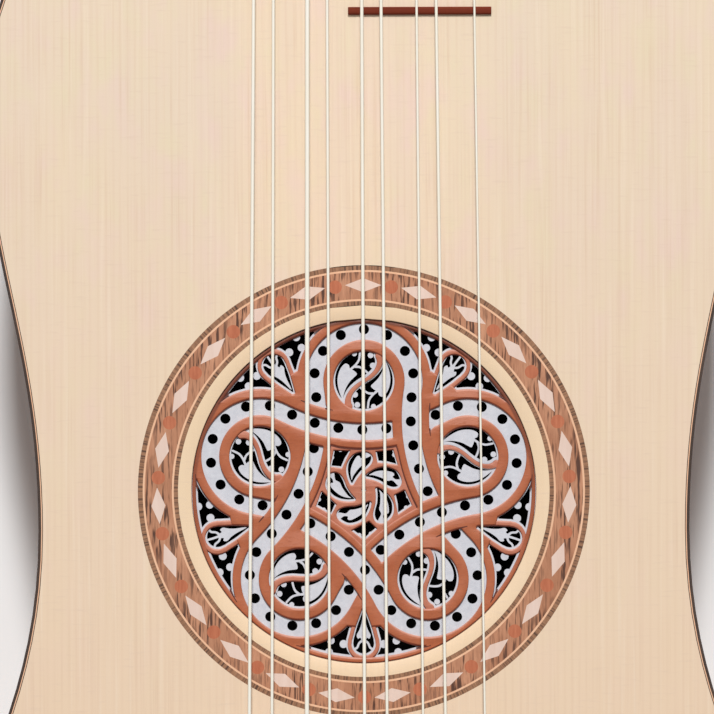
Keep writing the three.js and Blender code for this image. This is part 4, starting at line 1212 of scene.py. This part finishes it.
def make_neck():
    curve = smooth(HEEL, 3) + [(0.2, 1), (0, 1)]
    rings = [[(x, HEAD_ROOT_Y + ((z - HEAD_ROOT_Z) * math.sin(HEAD_TILT) - 0.3) / math.cos(HEAD_TILT), z)
              for x, z in free_section(NECK_END_Y, 0)]]
    for step in range(1, 6):
        y = between(step, 0, 6, NECK_END_Y - 10, NECK_JOINT_Y + HEEL_LENGTH)
        rings.append([(x, y, z) for x, z in free_section(y, 0)])
    for out, down in curve:
        down = min(max(down, 0), 1)
        y = NECK_JOINT_Y + HEEL_LENGTH * out
        depth = neck_depth(y) + (NECK_TOP_Z - HEEL_GAP - neck_depth(y)) * down
        keel = (NECK_KEEL + (HEEL_KEEL - NECK_KEEL) * down) / 2
        power = NECK_ROUNDNESS + (HEEL_ROUNDNESS - NECK_ROUNDNESS) * down
        rings.append([(x, y, z) for x, z in neck_section(neck_half(y), depth, keel, power)])
    ready(drawn_through('neck_and_heel', rings), 'neck', ['neck'], smooth=45)

    board = [(-NECK_HALF_AT_BODY, NECK_JOINT_Y), (NECK_HALF_AT_BODY, NECK_JOINT_Y), (NUT_HALF, NUT_Y),
             (-NUT_HALF, NUT_Y)]
    ready(sheet('ebony_fingerboard', [board], NECK_TOP_Z, BODY_DEPTH, 0.3), 'ebony', ['fingerboard'])


GUT_FRET_OFFSET = 0.8
GUT_FRET_RADIUS = 0.5
KNOT_RADIUS = 0.42
KNOT_DROP = 3
TAIL_RADIUS = 0.4
FRET_PROFILE = [(-1, 0), (1, 0), (1, 0.6), (0.85, 0.9), (0.55, 1.1), (-0.55, 1.1), (-0.85, 0.9), (-1, 0.6)]
# The frets on the body, by the shares of the neck's half width that they reach to either side
BODY_FRETS = {14: (-0.122, 1.103), 13: (-0.6, 1.06), 12: (-1, 1.03)}


def fret_y(number):
    """Where a fret stands, a twelfth root of two after the one before it."""
    return NUT_Y - STRING_LENGTH * (1 - 2 ** (-number / 12))


def make_gut_fret(number):
    """A length of gut tied round the neck, with its knot and two short tails on the bass side."""
    y = fret_y(number)
    top = BODY_DEPTH + GUT_FRET_OFFSET
    half = neck_half(y) + GUT_FRET_OFFSET
    around = [(half, top)] + free_section(y, GUT_FRET_OFFSET) + [(-half, top)]
    pieces = [thread('hoop', [(x, y, z) for x, z in around], GUT_FRET_RADIUS, closed=True)]
    turns = [TURN * step / 14 for step in range(15)]
    for side in (-1, 1):
        knot = [(-half - 0.25 + 0.5 * math.cos(turn), y + 0.95 * math.sin(turn) * side,
                 top - KNOT_DROP + 1.1 * math.sin(turn / 2) * side) for turn in turns]
        pieces.append(thread('knot', knot, KNOT_RADIUS))
    for side in (-1, 1):
        tail = [(-half - 0.2, y, top - KNOT_DROP), (-half - 0.35, y + 1.2 * side, top - 4.4)]
        pieces.append(thread('tail', tail, TAIL_RADIUS))
    ready(as_one(f'gut_fret_{number}', pieces), 'gut', [f'tied_fret_{number}'], smooth=60)


def make_frets():
    for number in range(1, 10):
        make_gut_fret(number)
    for number in range(10, 15):
        y = fret_y(number)
        reach = neck_half(y) - 1
        low, high = BODY_FRETS.get(number, (-1, 1))
        section = [(y + along_y, BODY_DEPTH + up) for along_y, up in FRET_PROFILE]
        bar = sheet(f'glued_fret_{number}', [section], reach * low, reach * high, 0.12, ALONG_X)
        finish, slot = ('body fret', 'body_fret_wood') if number in BODY_FRETS else ('ebony', 'ebony')
        ready(bar, finish, [f'wooden_fret_{number}'])


# Nut, bridge and end button
NUT_CORNER = 0.5
NUT_RISE = 0.6
SLOT_PLAY = 0.12


def make_nut():
    top = STRING_Z_AT_NUT + NUT_RISE
    corner = [(-NUT_HALF, NECK_TOP_Z), (-NUT_HALF, top - NUT_CORNER), (-NUT_HALF + NUT_CORNER, top)]
    comb = list(corner)
    for x, gauge in zip(NUT_X, STRING_GAUGES):
        room = gauge / 2 + SLOT_PLAY
        comb += [(x - room, top)] + [(x + room * math.cos(turn), STRING_Z_AT_NUT + room * math.sin(turn))
                                     for turn in [math.pi * (1 + step / 6) for step in range(7)]]
        comb.append((x + room, top))
    comb += mirrored(corner)
    ready(sheet('bone_nut', [comb], -NECK_END_Y, -NUT_Y, 0.0, ALONG_Y), 'bone', ['nut'])


# The bridge's scroll ends, as shares of their length: a straight stroke and a curl to either side of it
SCROLL_LENGTH = 36
SCROLL_START = 60.3
SCROLL_HEIGHT = 1.6
SCROLL_CURL = [(0.06, 0.02), (0.22, 0.24), (0.46, 0.38), (0.68, 0.36), (0.76, 0.24), (0.66, 0.18)]
SCROLL_CURL_RADII = [0.08, 0.075, 0.06, 0.045, 0.045, 0.05]
SCROLL = [
    ([(0, 0), (0.35, 0.02), (0.7, -0.01), (1, 0)], [0.15, 0.1, 0.06, 0.012]),
    (SCROLL_CURL, SCROLL_CURL_RADII),
    (flipped(SCROLL_CURL)[::-1], SCROLL_CURL_RADII),
]
BRIDGE_PROFILE = [(60, 0), (60, 1.9), (58.6, 2.4), (54, 2.9), (49, 3.2), (45.5, 3.7), (43, 4.6), (41.6, 5.8),
                  (40.6, 7.2), (39.6, 8)]
HOLE_PLAY = 0.35


def make_bridge():
    outline = [(x, BODY_DEPTH + z) for x, z in BRIDGE_PROFILE]
    holes = [circle(gauge / 2 + HOLE_PLAY, 20, (x, STRING_Z_AT_BRIDGE))
             for x, gauge in zip(BRIDGE_X, STRING_GAUGES)]
    bridge = sheet('tie_bridge', [outline + mirrored(outline)] + holes, -BRIDGE_FRONT_Y, -BRIDGE_BACK_Y, 0.0,
                   ALONG_Y)
    ready(ease(bridge, 0.5, 3, 50), 'ebony', ['bridge'])

    middle = (BRIDGE_FRONT_Y + BRIDGE_BACK_Y) / 2
    for side in ('treble', 'bass'):
        shapes = []
        for spine, radii in SCROLL:
            root = radii[0]
            points = [((SCROLL_START / SCROLL_LENGTH + root + out * (1 - root)) * SCROLL_LENGTH,
                       middle + up * SCROLL_LENGTH) for out, up in spine]
            loop = stroke(points, [radius * SCROLL_LENGTH for radius in radii], 6, 6)
            shapes.append(('scroll', loop if side == 'treble' else mirrored(loop)))
        loops = traced(shapes, lambda held: 'scroll' in held, blunt=0.3)
        scroll = sheet(f'{side}_scroll', loops, BODY_DEPTH, BODY_DEPTH + SCROLL_HEIGHT, 0.3)
        ready(scroll, 'ebony', [f'moustache_{side}'])


# The end button's radii, and how far from the body each of them lies
BUTTON_PROFILE = [(3.6, -17.7), (3.6, 0.3), (6.9, 0.4), (7, 0.9), (6.9, 1.6), (5.4, 2.6), (4.3, 3.8),
                  (3.9, 5.2), (4.2, 6.6), (5.3, 7.9), (6.6, 9.2), (7, 10.7), (6.5, 12.2), (4.6, 13), (2, 13.3)]


def make_button():
    rings = [[(x, TAIL_Y - out, BODY_DEPTH / 2 + z) for x, z in circle(radius, 32)]
             for radius, out in BUTTON_PROFILE]
    ready(drawn_through('turned_end_button', rings), 'ebony', ['end_button'], smooth=50)


# Head and pegs
PEG_OFFSET = 28
FIRST_PEG = 32
PEG_SPACING = 29
PEG_HOLE_RADIUS = 4.3
PEG_TURNS = [0.04, -0.09, 0.16, 0.02, -0.14, 0.11, -0.05, 0.2, -0.02]
HEAD_OUTLINE = [(26.5, 0), (27.3, 6.5), (30, 13.9), (33.9, 18.5), (36.2, 25.9), (37, 37), (37.4, 60),
                (38.1, 110), (38.8, 150), (39, 159.1), (37.8, 166.5), (34.3, 168.4), (33.5, 172), (30.4, 177.2),
                (25, 178), (19.5, 173.9), (16.3, 173), (14, 176.7), (11.7, 181.7), (6.2, 185)]


def peg_place(index):
    """Side and distance along the head. Five pegs stand on the bass side, four half a step on opposite."""
    in_bass = index < 5
    order = index if in_bass else 8 - index + 0.5
    return (-1 if in_bass else 1), FIRST_PEG + PEG_SPACING * order


def make_head():
    treble = smooth(HEAD_OUTLINE, 4)
    loops = [treble + mirrored(treble)]
    for index in range(len(STRING_NAMES)):
        side, distance = peg_place(index)
        loops.append(circle(PEG_HOLE_RADIUS, 32, (side * PEG_OFFSET, distance)))
    for name, low, high, rounding, finish, slot, node in (
            ('ebony_head_veneer', VENEER_BACK_Z, 0, 0.25, 'ebony', 'ebony', 'head_veneer'),
            ('head_core', HEAD_BACK_Z, VENEER_BACK_Z, 0.5, 'neck', 'neck_wood', 'head')):
        board = sheet(name, loops, low, high, rounding)
        board.data.transform(head_place(MM))
        ready(board, finish, [node])


# A peg hangs from the head's back: its collar, then its handle
COLLAR_TOP = HEAD_BACK_Z - 0.3
HANDLE_TOP = COLLAR_TOP - 2.6
HANDLE_LENGTH = 24
HANDLE_HALF_WIDTH = 10.8
HANDLE_HALF_THICKNESS = 3.2
PEG_SHAFT = [(10, 1.6), (9.75, 2.6), (9.15, 3.4), (3.3, 3.4), (COLLAR_TOP, 4), (COLLAR_TOP, 4.9),
             (COLLAR_TOP - 0.5, 5.2), (COLLAR_TOP - 1.3, 5.0), (COLLAR_TOP - 1.8, 4.2), (HANDLE_TOP + 0.3, 4.4),
             (HANDLE_TOP, 4.1)]
# Shares of the handle's length, half width and half thickness
PEG_BLADE = [(0.05, 0.3, 0.95), (0.14, 0.3, 0.85), (0.22, 0.42, 0.76), (0.32, 0.66, 0.82), (0.44, 0.88, 0.94),
             (0.56, 0.99, 1), (0.68, 1, 0.98), (0.8, 0.94, 0.9), (0.9, 0.76, 0.76), (0.96, 0.55, 0.56),
             (0.985, 0.34, 0.36)]
PEG_PIP = [(22.6, 1.2), (23.3, 1.35), (23.8, 1.1), (24, 0.6)]


def make_pegs():
    sections = [(z, radius, radius) for z, radius in PEG_SHAFT]
    sections += [(HANDLE_TOP - down * HANDLE_LENGTH, across * HANDLE_HALF_WIDTH, through * HANDLE_HALF_THICKNESS)
                 for down, across, through in PEG_BLADE]
    turned_part = drawn_through('peg_pattern', [[(x * across, y * through, z) for x, y in circle(1, 32)]
                                                for z, across, through in sections])
    pip = drawn_through('pip', [[(x * reach, y * reach, HANDLE_TOP - down) for x, y in circle(1, 16)]
                                for down, reach in PEG_PIP])
    pattern = as_one('peg_pattern', [turned_part, pip])
    for index, name in enumerate(STRING_NAMES):
        side, distance = peg_place(index)
        mesh = pattern.data.copy()
        piece = bpy.data.objects.new(f'turned_peg_{name}', mesh)
        bpy.context.collection.objects.link(piece)
        mesh.transform(head_place(MM) @ Matrix.Translation((side * PEG_OFFSET * MM, distance * MM, 0))
                       @ Matrix.Rotation(TURN * PEG_TURNS[index], 4, 'Z'))
        ready(piece, 'ebony', [f'peg_{name}'], f'peg_{name}_body', smooth=50)
    bpy.data.objects.remove(pattern)


# Strings: how far one reaches behind the bridge, and its winding round the peg
STRING_TAIL = 14.6
NUT_WIDTH = 4.8
PEG_RADIUS = 3.4
WINDING_GAP = 0.3
WINDING_TURNS = 2.25
WINDING_LOW_Z = 3.3
WINDING_SPACE = 0.5
TIE_HEIGHT = 7.85


def string_path(index):
    """From the bridge's back over the nut to the winding round the peg."""
    radius = STRING_GAUGES[index] / 2
    side, distance = peg_place(index)
    at_bridge = Vector((BRIDGE_X[index], BRIDGE_FRONT_Y, STRING_Z_AT_BRIDGE))
    at_nut = Vector((NUT_X[index], NUT_Y, STRING_Z_AT_NUT))
    slope = (at_nut - at_bridge) / STRING_LENGTH
    start = at_bridge - slope * STRING_TAIL
    off_nut = Vector((at_nut.x + slope.x * NUT_WIDTH, NECK_END_Y, STRING_Z_AT_NUT))
    near = head_place(1).inverted() @ off_nut
    centre = Vector((side * PEG_OFFSET, distance))
    reach = centre - Vector((near.x, near.y))
    winding = PEG_RADIUS + WINDING_GAP + radius
    heading = math.atan2(reach.y, reach.x) + side * math.asin(winding / reach.length)
    pitch = 2 * radius + WINDING_SPACE
    steps_a_turn = 24
    path = [start, at_bridge, at_nut, off_nut]
    for step in range(round(WINDING_TURNS * steps_a_turn) + 1):
        turn = step / steps_a_turn
        angle = heading + side * (math.pi / 2 - TURN * turn)
        spot = Vector((centre.x + winding * math.cos(angle), centre.y + winding * math.sin(angle),
                       WINDING_LOW_Z + pitch * turn))
        path.append(head_place(1) @ spot)
    tail = (path[-1] - path[-2]).normalized()
    path.append(path[-1] + tail * 2 * radius)
    return path


def tie_path(x, radius):
    """The loop that holds a string at the bridge, and its end tucked back over the bridge."""
    back, front, hole = BRIDGE_BACK_Y, BRIDGE_FRONT_Y, STRING_Z_AT_BRIDGE
    top = BODY_DEPTH + TIE_HEIGHT + radius
    return smooth([(x, back - 0.5, hole), (x, back - 0.5 - radius, hole + 0.5), (x, back - 0.3, top - 0.1),
                   (x, back + 2, top), (x, front - 2, top), (x, front + 0.2 + radius, top - 0.3),
                   (x + radius * 1.6, front + 0.8 + radius, hole), (x, front + 1 + radius, hole - 2 * radius),
                   (x - radius * 1.9, front + 0.9 + radius, hole + 0.1),
                   (x - radius * 2.2, front + 0.3 + radius, top - 0.35), (x - radius * 2.4, front - 2.2, top),
                   (x - radius * 2.6, front - 6.5, top)])


def make_strings():
    for index, name in enumerate(STRING_NAMES):
        radius = STRING_GAUGES[index] / 2
        path = string_path(index)
        pieces = [thread('span', path, radius), thread('tie', tie_path(path[0].x, radius), radius)]
        ready(as_one(f'gut_string_{name}', pieces), 'gut', [f'string_{name}'], smooth=60)


def finish_inside():
    """Gives the plain pieces inside the body their wood. They keep the frame's shapes."""
    for name in ('neck_block', 'tail_block', 'soundboard_bar_1', 'soundboard_bar_2', 'back_bar_1', 'back_bar_2',
                 'back_bar_3'):
        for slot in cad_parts[name].material_slots:
            slot.material = FINISHES['pine']


# The studio
VIEW_WIDTH = 714 * PIXEL
CAMERA_HEIGHT = 1200
CAMERA_PLACE = -1.645, 34.605
CAMERA_TURN = -0.188
SENSOR_WIDTH = 36
# In metres, and the lamp's power in watts
TABLE_SIZE = 12
TABLE_FADE = 2.4, 1.2
LAMP_SIZE = 0.35, 0.9
LAMP_POWER = 143
LAMP_AIM = Vector((0, 0.05, 0.09))
LAMP_OFFSET = Vector((0, 2.45, 3.15))
ROOM_LIGHT = 0.33


def make_camera():
    camera = bpy.data.objects.new('camera', bpy.data.cameras.new('camera'))
    bpy.context.collection.objects.link(camera)
    camera.location = (CAMERA_PLACE[0] * MM, CAMERA_PLACE[1] * MM, (BODY_DEPTH + CAMERA_HEIGHT) * MM)
    camera.rotation_euler.z = math.radians(CAMERA_TURN)
    camera.data.sensor_width = SENSOR_WIDTH
    camera.data.lens = SENSOR_WIDTH * CAMERA_HEIGHT / VIEW_WIDTH
    camera.data.clip_end = 50
    bpy.context.scene.camera = camera


def make_table():
    finish = Finish('pale table', 0.8)
    cloud = finish.noise((2, 2, 2), 2)
    finish.set('Base Color', finish.mix(cloud, rgb(246, 247, 247), rgb(249, 250, 250)))
    finish.set('Alpha', finish.step(finish.away(), *TABLE_FADE))
    rest()
    bpy.ops.mesh.primitive_plane_add(size=TABLE_SIZE)
    floor = bpy.context.object
    floor.name = 'table'
    floor.data.materials.append(finish.material)


def make_light():
    """One window above the head's end, and an even room light, which the camera sees as white."""
    lamp = bpy.data.objects.new('window', bpy.data.lights.new('window', 'AREA'))
    bpy.context.collection.objects.link(lamp)
    lamp.data.shape = 'RECTANGLE'
    lamp.data.size, lamp.data.size_y = LAMP_SIZE
    lamp.data.energy = LAMP_POWER
    lamp.location = LAMP_AIM + LAMP_OFFSET
    lamp.rotation_euler = (LAMP_AIM - lamp.location).to_track_quat('-Z', 'Y').to_euler()

    world = bpy.data.worlds.new('studio')
    bpy.context.scene.world = world
    world.use_nodes = True
    tree = world.node_tree
    tree.nodes.clear()
    light_path = tree.nodes.new('ShaderNodeLightPath')
    seen = tree.nodes.new('ShaderNodeBackground')
    seen.inputs['Color'].default_value = (1, 1, 1, 1)
    lighting = tree.nodes.new('ShaderNodeBackground')
    lighting.inputs['Strength'].default_value = ROOM_LIGHT
    choice = tree.nodes.new('ShaderNodeMixShader')
    output = tree.nodes.new('ShaderNodeOutputWorld')
    tree.links.new(light_path.outputs['Is Camera Ray'], choice.inputs[0])
    tree.links.new(lighting.outputs[0], choice.inputs[1])
    tree.links.new(seen.outputs[0], choice.inputs[2])
    tree.links.new(choice.outputs[0], output.inputs[0])
    bpy.context.scene.view_settings.view_transform = 'Standard'


for make in (make_camera, make_table, make_light, make_body, make_ring, make_rose_wood, make_rose_parchment,
             make_neck, make_frets, make_nut, make_bridge, make_button, make_head, make_pegs, make_strings,
             finish_inside):
    make()
